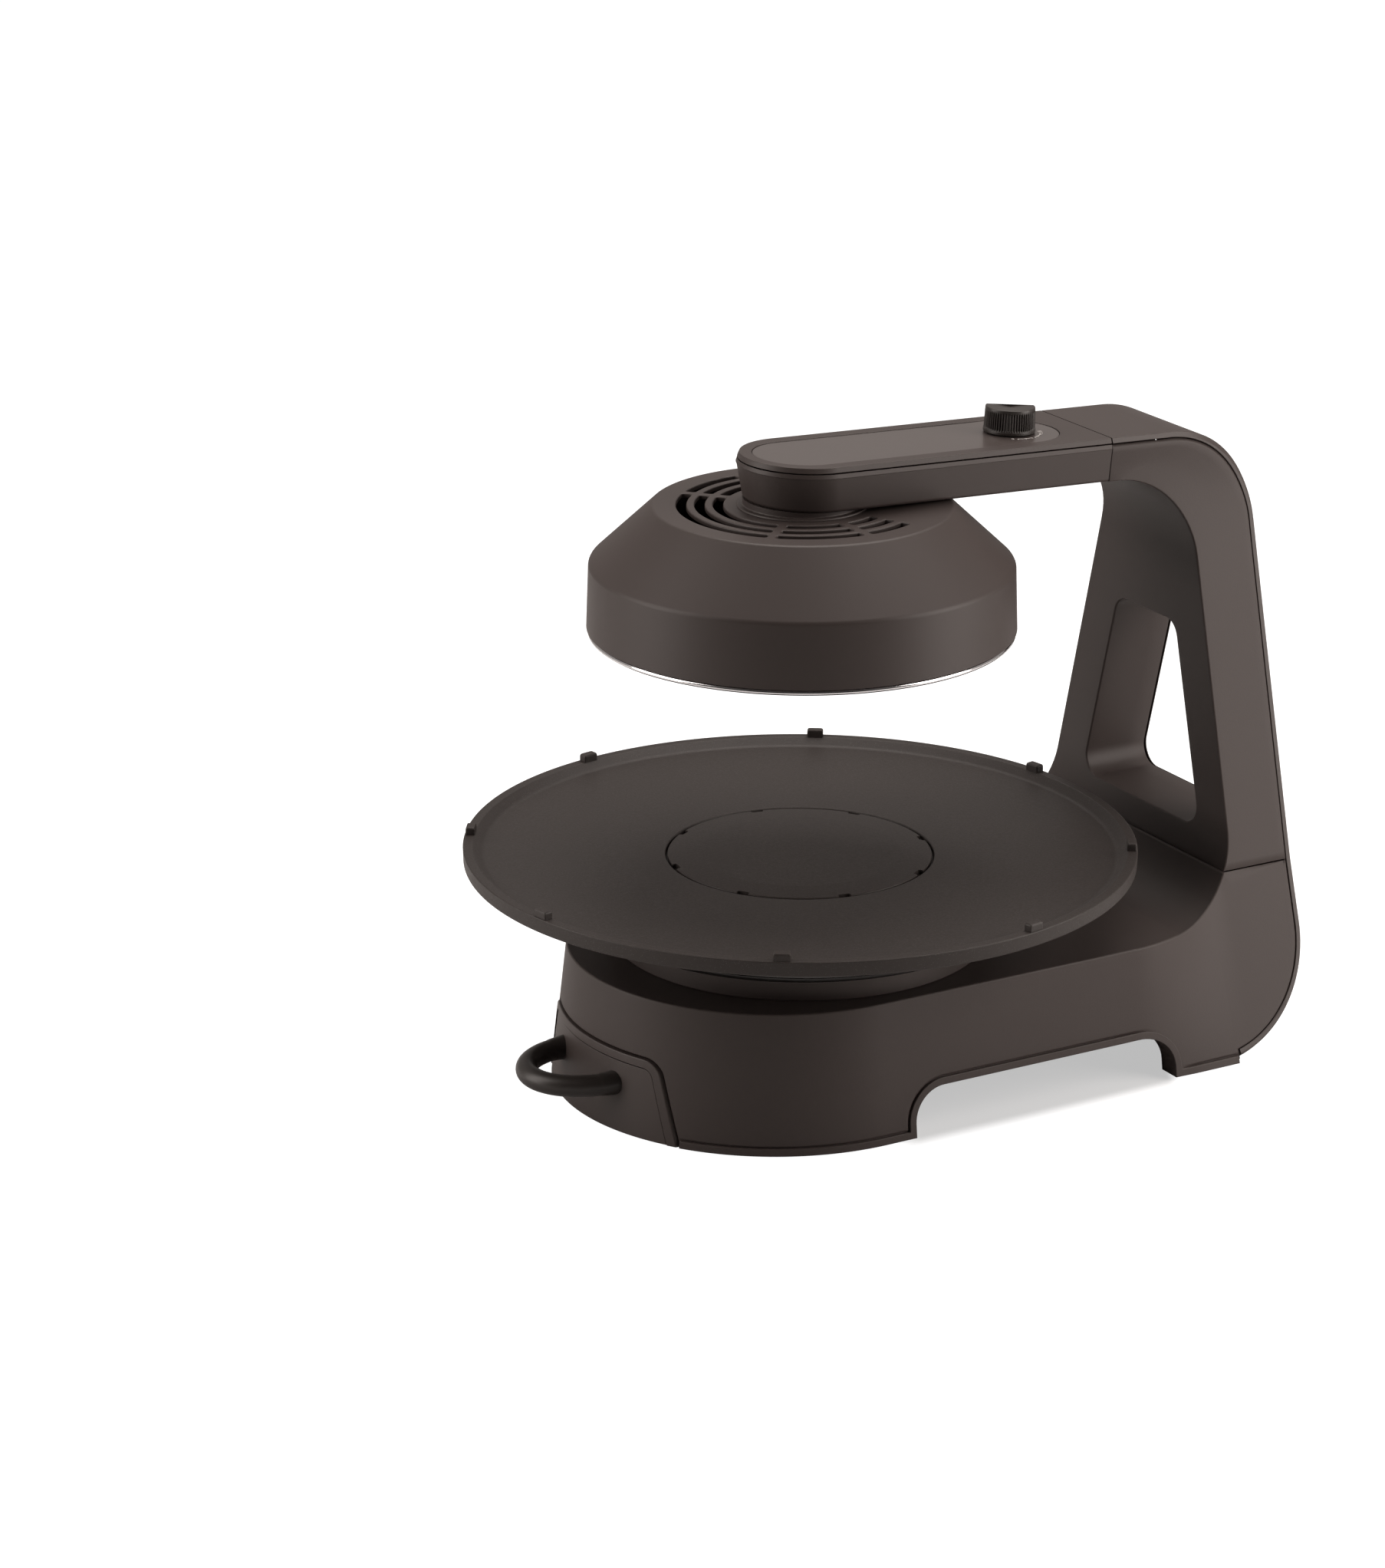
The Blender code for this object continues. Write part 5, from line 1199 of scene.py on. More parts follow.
    def cover(self) -> None:
        """Build the rear cover: its sides, its back above and below the opening, and the opened panel."""
        path, out, first = self.cover_line()
        rows = self.cover_rows(path, out)
        skin = Skin().grid(rows).mirror()
        edge = rows[-1]
        last = first + OPENING.upward
        for part in (edge[:first + 1], edge[last:]):
            skin.grid(spread(part, np.linspace(-1, 1, OPENING.across + 1)))
        panel = edge[first:last + 1][::-1]
        ring = OPENING.frame(panel[:, 2], panel[:, 1])
        r = self.cover_edge_r
        hole = OPENING.outline(2 * r)
        rows = [stood(ring + (hole - ring) * share, FORM.back_x) for share in self.panel_shares]
        for wide, deep in eased(r, *self.edge_degs):
            rows.append(stood(OPENING.outline(r + wide), FORM.back_x - deep))
        skin.grid(rows, wrap_cols=True)
        cutters = [*Screws().seats(), Inlet().opening()]
        Piece("rear_cover", FINISHES.trim, Body.FRAME, Slot.TRIM, ["back_cover"], sharp=50,
              wall=self.cover_wall, cutters=cutters).show(skin)


@dataclass
class Inlet:
    """The mains inlet in the rear cover; the socket itself is the frame's own solid."""
    z: float = 0.0960
    half: float = 0.0145
    tall: float = 0.0215
    corner_r: float = 0.0008
    reach: float = 0.0100

    def opening(self) -> Skin:
        """The solid that opens the cover for the socket."""
        outline = rounded_box(self.half + FIT, self.tall / 2 + FIT, self.corner_r) + (0.0, self.z)
        return Skin().loft([stood(outline, FORM.back_x + reach) for reach in (-self.reach, self.reach)])


@dataclass
class Screws:
    """Pan-head screws of the rear cover, with a cross recess."""
    places: Pairs = ((-0.027, 0.290), (0.027, 0.290), (-0.076, 0.138), (0.076, 0.138))
    head_r: float = 0.0038
    seat_r: float = 0.0041
    seat_deep: float = 0.0012
    slot_long: float = 0.0019
    slot_half: float = 0.0004
    slot_floor: float = 0.0003
    slot_reach: float = 0.0030

    @staticmethod
    def facing_back(profile: Array, x: float, y: float, z: float) -> Array:
        """A profile turned about an axis that points backwards from (x, y, z)."""
        ring = turned(profile, 32)
        return np.stack([ring[..., 2] + x, ring[..., 0] + y, ring[..., 1] + z], -1)

    def seats(self) -> list[Skin]:
        """The solids that sink the screws' seats into the cover, with softened edges."""
        profile = [(self.seat_r, -self.seat_deep), (self.seat_r, -0.0003), (0.0044, 0.0), (0.0060, 0.002)]
        return [Skin().loft(self.facing_back(profile, FORM.back_x, y, z)) for y, z in self.places]

    def build(self) -> None:
        """Build the four heads as one piece, their domes turned about x and crossed by two slots."""
        skin, cutters = Skin(), []
        base = FORM.back_x - self.seat_deep
        profile = softened([(0.0, 0.0009), (0.0026, 0.0009), (self.head_r, 0.0004), (self.head_r, -0.0002),
                            (0.0, -0.0002)], [0, 0.003, 0.0003, 0, 0], 4)
        slot = rounded_box(self.slot_long, self.slot_half, 0.0002)
        for y, z in self.places:
            skin.grid(self.facing_back(profile, base, y, z), wrap_cols=True)
            for outline in (slot, slot[:, ::-1]):
                rows = [stood(outline + (y, z), base + x) for x in (self.slot_floor, self.slot_reach)]
                cutters.append(Skin().loft(rows))
        names = [f"cover_screw_{i + 1}" for i in range(len(self.places))]
        Piece("cover_screw_heads", FINISHES.zinc, Body.FRAME, Slot.STEEL, names, cutters=cutters).show(skin)


@dataclass
class Drawer:
    """The drawer front with its raised border, and the D-shaped grip."""
    low_z: float = 0.0005
    least_r: float = 0.0040
    proud: float = 0.0010
    thick: float = 0.0040
    border: float = 0.0050
    field: float = 0.0007
    groove: float = 0.0014
    groove_wide: float = 0.0008
    grip_half: float = 0.0310
    grip_z: float = 0.0280
    grip_reach: float = 0.0370
    grip_r: float = 0.0066
    cuff: float = 0.0085

    def half_outline(self, inset: float) -> Array:
        """Half of the front's outline in (y, z), moved inwards."""
        radius = max(self.least_r, BAY.corner_r - inset)
        return BAY.outline(-inset, self.low_z, radius, (13, 14, 9))

    def on_front(self, flat: Array, out: float | Array) -> Array:
        """Carry (y, z) points on to the round front: x = front centre - sqrt((radius + out)^2 - y^2)."""
        radius = FORM.base_half(flat[..., 1]) + out
        x = FORM.front_x - np.sqrt(radius ** 2 - flat[..., 0] ** 2)
        return np.stack([x, flat[..., 0], flat[..., 1]], -1)

    def build(self) -> None:
        """Build the front, its grip and the grip's cuffs."""
        field = self.proud - self.field
        floor = field - self.groove
        lip, slot, end = self.border, self.border + self.groove_wide, self.border + 0.0015
        section = softened([(0.0, -self.thick), (0.0, self.proud), (lip, self.proud), (lip, floor),
                            (slot, floor), (slot, field), (end, field)],
                           [0, 0.0006, 0.0003, 0, 0, 0.0002, 0], 4)
        rows = [self.on_front(self.half_outline(d), out) for d, out in section]
        inner = self.half_outline(end)
        middle = lifted(np.minimum(inner[:, 0], 0.030), self.low_z)
        for weight in np.linspace(0, 1, 9):
            rows.append(self.on_front(inner + (middle - inner) * weight, field))
        face = np.array(rows)
        skin = Skin().grid(face)
        skin.grid([self.on_front(line, -self.thick) for line in (self.half_outline(0.0), middle)])
        foot_out = face[:, -1]
        skin.grid([foot_out, self.on_front(foot_out[:, 1:], -self.thick)]).mirror()
        Piece("drawer_face", FINISHES.trim, Body.DRAWER, Slot.TRIM, ["drawer_front"], sharp=45).show(skin)
        self.grip()

    def grip(self) -> None:
        """Build the grip: a round bar on half an ellipse, with flared cuffs where it meets the front."""
        surface = FORM.base_half(self.grip_z) + self.proud - self.field
        root_x = FORM.front_x - math.sqrt(surface ** 2 - self.grip_half ** 2)
        angle = np.linspace(0, np.pi, 181)
        bend = np.stack([root_x - self.grip_reach * np.sin(angle), self.grip_half * np.cos(angle)], -1)
        lead = np.array([(root_x + 0.0028, self.grip_half), (root_x + 0.0014, self.grip_half)])
        flat = np.concatenate([lead, bend, lead[::-1] * (1, -1)])
        path = lifted(flat, self.grip_z)
        reach = np.clip(root_x - path[:, 0], 0.0, None)
        crisp = np.clip((self.cuff - reach) / 0.0006, 0, 1)
        swell = crisp * (0.035 + 0.10 * np.clip(1 - reach / self.cuff, 0, 1) ** 1.5)
        skin = Skin().loft(tube(path, self.grip_r * (0.97 + swell), 32))
        Piece("drawer_grip", FINISHES.satin, Body.DRAWER, Slot.BLACK, ["drawer_handle"]).show(skin)


@dataclass
class Arm:
    """The arm, in its own sloping frame: the seam with the post at x 0, its top at z 0, the nose at -x."""
    length: float = 0.2290
    tall: float = 0.0268
    half: float = 0.0397
    gap: float = 0.0007
    nose_lean: float = 0.0053
    panel_front: float = 0.2196
    panel_rear: float = 0.0180
    panel_half: float = 0.0285
    panel_t: float = 0.0008
    knob_at: float = 0.0480

    @staticmethod
    def place(points: Array) -> Array:
        """Turn the arm's frame by its slope about y and move it to the seam."""
        c, s = math.cos(FORM.arm_slope), math.sin(FORM.arm_slope)
        x, y, z = points[..., 0], points[..., 1], points[..., 2]
        return np.stack([FORM.arm_seam_x + c * x + s * z, y, FORM.arm_seam_z - s * x + c * z], -1)

    @staticmethod
    def plan(half: float, nose: float, rear: float, square: bool) -> Array:
        """A plan outline: straight sides, a round nose, and a rear end that is square or round.

        Args:
            half: half-width.
            nose: distance of the nose from the seam.
            rear: x of the rear end.
            square: whether the rear end is square.

        Returns:
            (n, 2) points, the same number for any sizes.
        """
        t = np.linspace(-1, 1, 25)
        if square:
            back = stood(half * t, rear)
        else:
            back = arc(rear - half, 0.0, half, -90, 90, 24)
        return np.concatenate([back, arc(half - nose, 0.0, half, 90, 270, 56)])

    def loop(self, inset: float, z: float, rear: float | None = None) -> Array:
        """The arm's outline at a height, moved inwards; its rear stands off the seam unless it is given."""
        rear = -self.gap if rear is None else rear
        return lifted(self.plan(self.half - inset, self.length - inset, rear, True), z)

    def racetrack(self, extra: float, z: float) -> Array:
        """The panel's outline at a height, moved outwards."""
        nose, rear = self.panel_front + extra, extra - self.panel_rear
        return lifted(self.plan(self.panel_half + extra, nose, rear, False), z)

    def build(self) -> None:
        """Build the tub, the lid, the inset panel and the dial scale."""
        self.tub()
        self.cover()
        self.panel()
        DialScale(self).build()

    def tub(self) -> None:
        """Build the tub: a chamfer below the parting line, drafted sides, a round lower edge, a floor."""
        top, lean, inset, rim = -FORM.parting_deep - FIT, FORM.arm_draft, FORM.parting_in, -FORM.rim_deep
        side = softened([(inset + 0.0008, top - 0.0004), (inset, top), (0.0, rim), (0.00035, rim - 0.0003),
                         (lean, -self.tall), (0.0090, -self.tall)],
                        [0, 0.0003, 0.00015, 0.00015, 0.0024, 0], 5)
        rows = []
        for inset, z in side:
            share = np.clip((top - z) / (self.tall + top), 0, 1)
            nose = self.length - inset - (self.nose_lean - lean) * share
            rows.append(lifted(self.plan(self.half - inset, nose, -self.gap, True), z))
        inside = [self.loop(inset, z, -0.003)
                  for inset, z in ((WALL + 0.006, WALL - self.tall), (WALL + 0.0025, WALL - self.tall),
                                   (WALL + 0.0025, top - 0.0020), (FORM.parting_in + 0.0022, top - 0.0010))]
        rows = inside + rows + [self.loop(0.016, -self.tall)]
        Piece("arm_tub", FINISHES.fine, Body.FRAME, Slot.HOUSING, ["arm_lower_shell"], sharp=42,
              place=self.place).show(Skin().loft(rows))

    def cover(self) -> None:
        """Build the lid: its chamfered edge, and its top with the racetrack recess."""
        deep = -FORM.parting_deep
        low, high = FORM.parting_in, FORM.lid_in
        edge = softened([(low + 0.0006, deep), (low, deep + 0.0004), (high, 0.0), (high + 0.002, 0.0)],
                        [0, 0.0002, 0.0005, 0], 5)
        rows = [self.loop(0.010, deep, -0.003)] + [self.loop(inset, z) for inset, z in edge]
        recess = ((0.0007, 0.0), (0.00045, -0.0001), (FIT, -0.0003), (FIT, -0.0013), (-0.004, -0.0013))
        rows += [self.racetrack(extra, z) for extra, z in recess]
        Piece("arm_lid", FINISHES.fine, Body.FRAME, Slot.TRIM, ["arm_top_cover"], sharp=42,
              place=self.place).show(Skin().loft(rows))

    def panel(self) -> None:
        """Build the inset racetrack panel, a little below the lid, its edge softly rounded."""
        section = ((0.0, -self.panel_t), (0.0, -0.0006), (-0.0001, -0.00045), (-0.0004, -0.00035),
                   (-0.0016, -0.0003), (-0.010, -0.0003))
        Piece("arm_inset_panel", FINISHES.panel, Body.FRAME, Slot.PANEL, ["inset_panel"], sharp=42,
              place=self.place).show(Skin().loft([self.racetrack(extra, z) for extra, z in section]))


@dataclass
class DialScale:
    """The printed scale on the knob's near side: two strokes of an arc, their ticks and a few numbers."""
    arm: Arm
    radius: float = 0.0186
    stroke: float = 0.00042
    low: float = -0.00035
    high: float = -0.00022
    text_size: float = 0.0030
    ink_half: float = 0.00004
    arcs_deg: Pairs = ((-107.0, -77.5), (-67.0, -43.0))
    ticks_deg: Floats = (-107.0, -92.0, -77.5, -70.0, -60.5, -43.0)
    numbers: Sequence[tuple[int, float]] = ((0, -116.0), (30, -35.0), (60, -21.0))

    def build(self) -> None:
        """Build the strokes and ticks as one thin printed piece, and the numbers."""
        skin = Skin()
        patches = [(self.radius, self.stroke / 2, first, last) for first, last in self.arcs_deg]
        patches += [(self.radius + 0.0006, 0.0006, a - 0.7, a + 0.7) for a in self.ticks_deg]
        for middle, half, first, last in patches:
            ways = arc(0.0, 0.0, 1.0, first, last, 12)
            flat = np.concatenate([ways * (middle - half), ways[::-1] * (middle + half)])
            flat -= (self.arm.knob_at, 0)
            skin.loft([lifted(flat, z) for z in (self.low, self.high)])
        Piece("dial_strokes", FINISHES.ink, Body.FRAME, Slot.PANEL, place=self.arm.place).show(skin)
        for value, angle in self.numbers:
            self.number(value, math.radians(angle))

    def number(self, value: int, angle: float) -> None:
        """Print one number outside its tick, read from the arm's near side.

        Args:
            value: the number.
            angle: where it stands round the knob, in radians.
        """
        curve = bpy.data.curves.new(f"dial_number_{value}", "FONT")
        curve.body = str(value)
        curve.size = self.text_size
        curve.align_x, curve.align_y = "CENTER", "CENTER"
        curve.extrude = self.ink_half
        curve.resolution_u = 2
        text = new_object("dial_text", curve)
        mesh = final_mesh(text)
        bpy.data.objects.remove(text)
        points = np.zeros(len(mesh.vertices) * 3)
        mesh.vertices.foreach_get("co", points)
        points = points.reshape(-1, 3)
        points += (self.radius * math.cos(angle) - self.arm.knob_at, self.radius * math.sin(angle), self.high)
        mesh.vertices.foreach_set("co", (self.arm.place(points) + ORIGIN).ravel())
        mesh.materials.clear()
        mesh.materials.append(FINISHES.ink.material())
        item = new_object(f"dial_number_{value}", mesh)
        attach(item, Body.FRAME.value)
        log.info("%s: %d faces on %s", item.name, len(mesh.polygons), Body.FRAME.value)


@dataclass
class Knob:
    """The control knob: a round foot and a fluted grip that is flat on its far side."""
    radius: float = 0.0156
    tall: float = 0.0155
    flutes: int = 34
    flute_deep: float = 0.00085
    flat_deg: float = 60.0
    arc_deg: float = 208.0
    dip: float = 0.0014

    def outline(self, inset: float, depth: float) -> Array:
        """The grip's outline: R less the flutes' depth times 1 - |sin|^0.7 along the arc, then the chord.

        Args:
            inset: how much smaller it is.
            depth: the flutes' depth.

        Returns:
            (n, 2) points about the knob's axis.
        """
        t = np.linspace(0, 1, self.flutes * 8 + 1)
        angle = np.radians(self.flat_deg + 180 - self.arc_deg / 2 + self.arc_deg * t)
        wave = 1 - np.abs(np.sin(np.pi * self.flutes * t)) ** 0.7
        radius = self.radius - 0.0003 - inset - depth * wave
        round_side = radius[:, None] * heading(angle)
        chord = np.linspace(0, 1, 26)[1:-1, None]
        flat = round_side[-1] + (round_side[0] - round_side[-1]) * chord
        return np.concatenate([round_side, flat])

    def build(self) -> None:
        """Build foot and grip in one piece."""
        levels = [(0.0014, 0.0, 0.0), (0.0027, 0.00005, 0.0), (0.0031, 0.00006, 0.6), (0.0037, 0.0001, 1.0),
                  (0.0070, 0.0002, 1.0), (0.0100, 0.0003, 1.0), (0.0126, 0.0004, 1.0), (0.0131, 0.00042, 0.6),
                  (0.0135, 0.00045, 0.0), (0.0146, 0.0005, 0.0), (0.0151, 0.0006, 0.0), (0.0154, 0.0009, 0.0),
                  (0.0155, 0.0013, 0.0)]
        rows = [lifted(self.outline(inset, self.flute_deep * depth), z) for z, inset, depth in levels]
        away = np.radians(self.flat_deg)
        chord = (self.radius - 0.0016) * math.cos(math.radians(180 - self.arc_deg / 2))
        middle = heading(away) * chord
        top = rows[-1][:, :2]
        for share in (0.25, 0.5, 0.7, 0.85, 0.96):
            rows.append(lifted(top + (middle - top) * share, self.tall - self.dip * share ** 2))
        skin = Skin().loft(rows)
        foot = softened([(0.0, 0.0004), (self.radius, 0.0004), (self.radius, 0.0024), (0.0, 0.0024)],
                        [0, 0.0005, 0.0005, 0], 5)
        skin.grid(turned(foot, 96), wrap_cols=True)

        def place(points: Array) -> Array:
            """Carry the knob's own frame to its axis on the arm."""
            return Arm.place(points - (Arm.knob_at, 0.0, 0.0))
        Piece("dial_knob", FINISHES.satin, Body.KNOB, Slot.BLACK, ["control_knob"], sharp=35,
              place=place).show(skin)


@dataclass
class LampHead:
    """The lamp head: the slotted dome, its neck, the reflector, heaters and the wire guard."""
    rim_r: float = 0.1259
    rim_z: float = 0.2763
    shoulder_r: float = 0.1245
    shoulder_z: float = 0.3149
    crown_r: float = 0.0877
    crown_z: float = 0.3494
    wall: float = 0.0025
    bore: float = 0.0120
    vent_inner_r: float = 0.0460
    vent_pitch: float = 0.0107
    vent_width: float = 0.0060
    vent_rib: float = 0.0050
    vent_rings: int = 3
    vent_end_deg: float = 64.0
    vent_ribs_deg: Floats = (90.0, 130.0, 225.0, 270.0)
    vent_corner_r: float = 0.0014
    vent_steps: int = 28
    neck_r: float = 0.0360
    flange_r: float = 0.0385
    dish_sheet: float = 0.0010
    dish_low_z: float = 0.2795
    dish_rim_z: float = 0.2830
    dish_bowl: Pairs = ((0.1150, 0.2850), (0.1085, 0.3000), (0.0900, 0.3085), (0.0300, 0.3125),
                        (0.0, 0.3125))
    guard_rings: Sequence[tuple[float, int]] = ((0.1236, 320), (0.0800, 200), (0.0400, 120))
    spokes: int = 6
    spoke_first_deg: float = 21.0
    spoke_start: float = 0.0370
    guard_wire_r: float = 0.0016
    spoke_r: float = 0.0012
    heater_radii: Floats = (0.0950, 0.0600)
    heater_r: float = 0.0050
    heater_z: float = 0.2975

    def build(self) -> None:
        """Build the head from the outside in."""
        self.dome()
        self.neck()
        self.dish()
        self.tubes()
        self.guard()

    def dome(self) -> None:
        """Build the dome: its profile turned, then the vent slots cut through the crown."""
        top, under = self.crown_z, self.crown_z - self.wall
        outer = softened([(self.rim_r - self.wall, self.rim_z), (self.rim_r, self.rim_z),
                          (self.shoulder_r, self.shoulder_z), (self.crown_r, top), (self.bore, top)],
                         [0, 0.0005, 0.0042, 0.0034, 0], 8)
        inner = np.array([(self.bore, under), (self.crown_r - 0.002, under),
                          (self.shoulder_r - self.wall - 0.0004, self.shoulder_z - 0.0012),
                          (self.rim_r - self.wall - 0.0002, self.rim_z + 0.004)])
        profile = np.concatenate([outer, inner])
        skin = Skin().torus(turned(profile, 192))
        Piece("head_dome", FINISHES.fine, Body.FRAME, Slot.HOUSING, ["head_housing"], sharp=60,
              cutters=self.vents()).show(skin)

    def vents(self) -> list[Skin]:
        """The slots as solids: rounded boxes bent round the axis, their mouths flared to a quarter round."""
        bounds = [self.vent_end_deg, *self.vent_ribs_deg, 360 - self.vent_end_deg]
        flare = [(-0.0080, 0.0), (-0.0009, 0.0), (-0.00045, 0.00012), (-0.00015, 0.0004), (0.0, 0.0008),
                 (0.004, 0.0012)]
        solids = []
        for ring in range(self.vent_rings):
            middle = self.vent_inner_r + ring * self.vent_pitch + self.vent_width / 2
            rib = math.degrees(self.vent_rib / 2 / middle)
            for i, (start, end) in enumerate(zip(bounds, bounds[1:])):
                first = math.radians(start + (rib if i else 0))
                last = math.radians(end - (rib if i < len(self.vent_ribs_deg) else 0))
                half = (last - first) / 2 * middle
                rows = []
                for z, grow in flare:
                    wide = self.vent_width / 2 + grow
                    box = rounded_box(half + grow, wide, self.vent_corner_r + grow, self.vent_steps)
                    rows.append(lifted(bent(box, middle, (first + last) / 2), self.crown_z + z))
                solids.append(Skin().loft(rows))
        return solids

    def neck(self) -> None:
        """Build the neck: a raised ring on the crown and a core whose top follows the arm's slope."""
        low, high = self.crown_z + 0.0002, self.crown_z + 0.0010
        core, top = self.neck_r - RUN, self.crown_z + 0.010
        profile = softened([(self.bore, low), (self.flange_r, low), (self.flange_r - 0.0005, high),
                            (core, high), (core, top), (self.bore, top)], [0, 0, 0.0004, 0.0008, 0, 0], 5)
        ring = turned(profile, 128)
        rise = (FORM.arm_seam_x - ring[..., 0]) * math.tan(FORM.arm_slope)
        under = FORM.arm_seam_z + rise - FORM.arm_h / math.cos(FORM.arm_slope)
        ring[..., 2] = np.minimum(ring[..., 2], under - 0.0001)
        skin = Skin().torus(ring)
        Piece("head_neck", FINISHES.fine, Body.FRAME, Slot.TRIM, ["neck_ring"], sharp=45).show(skin)

    def dish(self) -> None:
        """Build the reflector: a spun sheet with a rolled rim that shows as a bright line below the head."""
        rim = self.rim_r - self.wall - 0.0007
        under = softened([(rim, self.dish_low_z), (rim, self.dish_rim_z), *self.dish_bowl],
                         [0, 0.001, 0.002, 0.004, 0.008, 0.01, 0], 6)
        over = under[::-1] + (0.0, self.dish_sheet)
        over[:, 0] = np.maximum(0.0, over[:, 0] - np.where(over[:, 1] < 0.3, 0.0008, 0.0))
        skin = Skin().torus(turned(np.concatenate([under, over]), 144))
        Piece("reflector_dish", FINISHES.polished, Body.FRAME, Slot.POLISHED, ["reflector"],
              sharp=50).show(skin)

    def tubes(self) -> None:
        """Build the two heater tubes, each with a map of its length for the wire's bands."""
        for name, radius in zip(("outer", "inner"), self.heater_radii):
            points = tube(circle_path(radius, self.heater_z, 144), self.heater_r, 20, closed=True)
            mesh = Piece(f"heater_ring_{name}", FINISHES.quartz, Body.FRAME, Slot.QUARTZ,
                         [f"heater_tube_{name}"]).show(Skin().torus(points)).data
            corner = np.zeros(len(mesh.loops), int)
            mesh.loops.foreach_get("vertex_index", corner)
            place = np.zeros(len(mesh.vertices) * 3)
            mesh.vertices.foreach_get("co", place)
            place = place.reshape(-1, 3) - ORIGIN
            along = np.arctan2(place[:, 1], place[:, 0])[corner].reshape(-1, 4)
            along = np.where(along.max(1, keepdims=True) - along > np.pi, along + 2 * np.pi, along) * radius
            chart = mesh.uv_layers.new(name="along")
            chart.data.foreach_set("uv", np.stack([along.ravel(), along.ravel() * 0], -1).ravel())

    def guard(self) -> None:
        """Build the guard: rings and straight spokes of drawn wire."""
        z = self.rim_z - FIT - self.guard_wire_r
        skin = Skin()
        for radius, steps in self.guard_rings:
            skin.torus(tube(circle_path(radius, z, steps), self.guard_wire_r, 24, closed=True))
        for i in range(self.spokes):
            way = heading(math.radians(self.spoke_first_deg + 360 / self.spokes * i))
            run = np.linspace(self.spoke_start, self.guard_rings[0][0], 12)[:, None]
            skin.loft(tube(lifted(run * way, z), self.spoke_r, 16))
        Piece("guard_wires", FINISHES.chrome, Body.FRAME, Slot.CHROME, ["wire_guard"]).show(skin)


@dataclass
class Turntable:
    """The collar on the deck, and the drum that turns on it under the pan."""
    collar_r: float = 0.1120
    collar_bore: float = 0.0360
    collar_top: float = 0.0980
    drum_r: float = 0.1300
    low: float = 0.1012
    top: float = 0.1285
    hub_bore: float = 0.0300
    hub_wall: float = 0.0030
    hub_low: float = 0.0700
    hub_top: float = 0.1200
    spout_z: float = 0.0560
    lip: float = 0.0110
    sheet: float = 0.0030
    bead_z: float = 0.1085
    bead_r: float = 0.0028

    def build(self) -> None:
        """Build the collar and the drum."""
        self.collar()
        self.drum()

    def collar(self) -> None:
        """Build the fixed collar: a stepped disc with the drip spout at its bore."""
        bore, low, top, r = self.collar_bore, FORM.deck_z + FIT, self.collar_top, self.collar_r
        outer = softened([(r - 0.0040, low), (r, low), (r, top), (bore, top)], [0, 0.0003, 0.0022, 0], 6)
        spout, step = bore + self.sheet, bore + 3 * self.sheet
        under = top - self.sheet
        inner = [(bore, self.spout_z), (spout, self.spout_z), (spout, low), (step, low), (step, under),
                 (r - 0.0040, under)]
        skin = Skin().torus(turned(np.concatenate([outer, inner]), 144))
        Piece("deck_collar", FINISHES.housing, Body.FRAME, Slot.HOUSING, ["turntable_collar"],
              sharp=45).show(skin)

    def drum(self) -> None:
        """Build the drum, a hollow ring with a hub, and the bead round it."""
        r, low, top, s, hub = self.drum_r, self.low, self.top, self.sheet, self.hub_bore + self.hub_wall
        lip = r - self.lip
        corners = [(self.hub_bore, self.hub_low), (hub, self.hub_low), (hub, low), (r - 0.0020, low),
                   (r, low + 0.0040), (r, top), (lip, top)]
        outer = softened(corners, [0, 0.0005, 0, 0.0060, 0.0045, 0.0005, 0], 8)
        inner = [(lip, top - s), (r - s, top - s), (r - s, low + 0.0070), (r - 0.0060, low + s),
                 (hub, low + s), (hub, self.hub_top), (self.hub_bore, self.hub_top)]
        skin = Skin().torus(turned(np.concatenate([outer, inner]), 192))
        Piece("drum_enamelled", FINISHES.enamel, Body.TURNTABLE, Slot.ENAMEL, ["turntable_drum"],
              sharp=45).show(skin)
        ring = tube(circle_path(r + 0.0006, self.bead_z, 256), self.bead_r, 32, closed=True)
        Piece("drum_bead", FINISHES.bead, Body.TURNTABLE, Slot.ENAMEL).show(Skin().torus(ring))


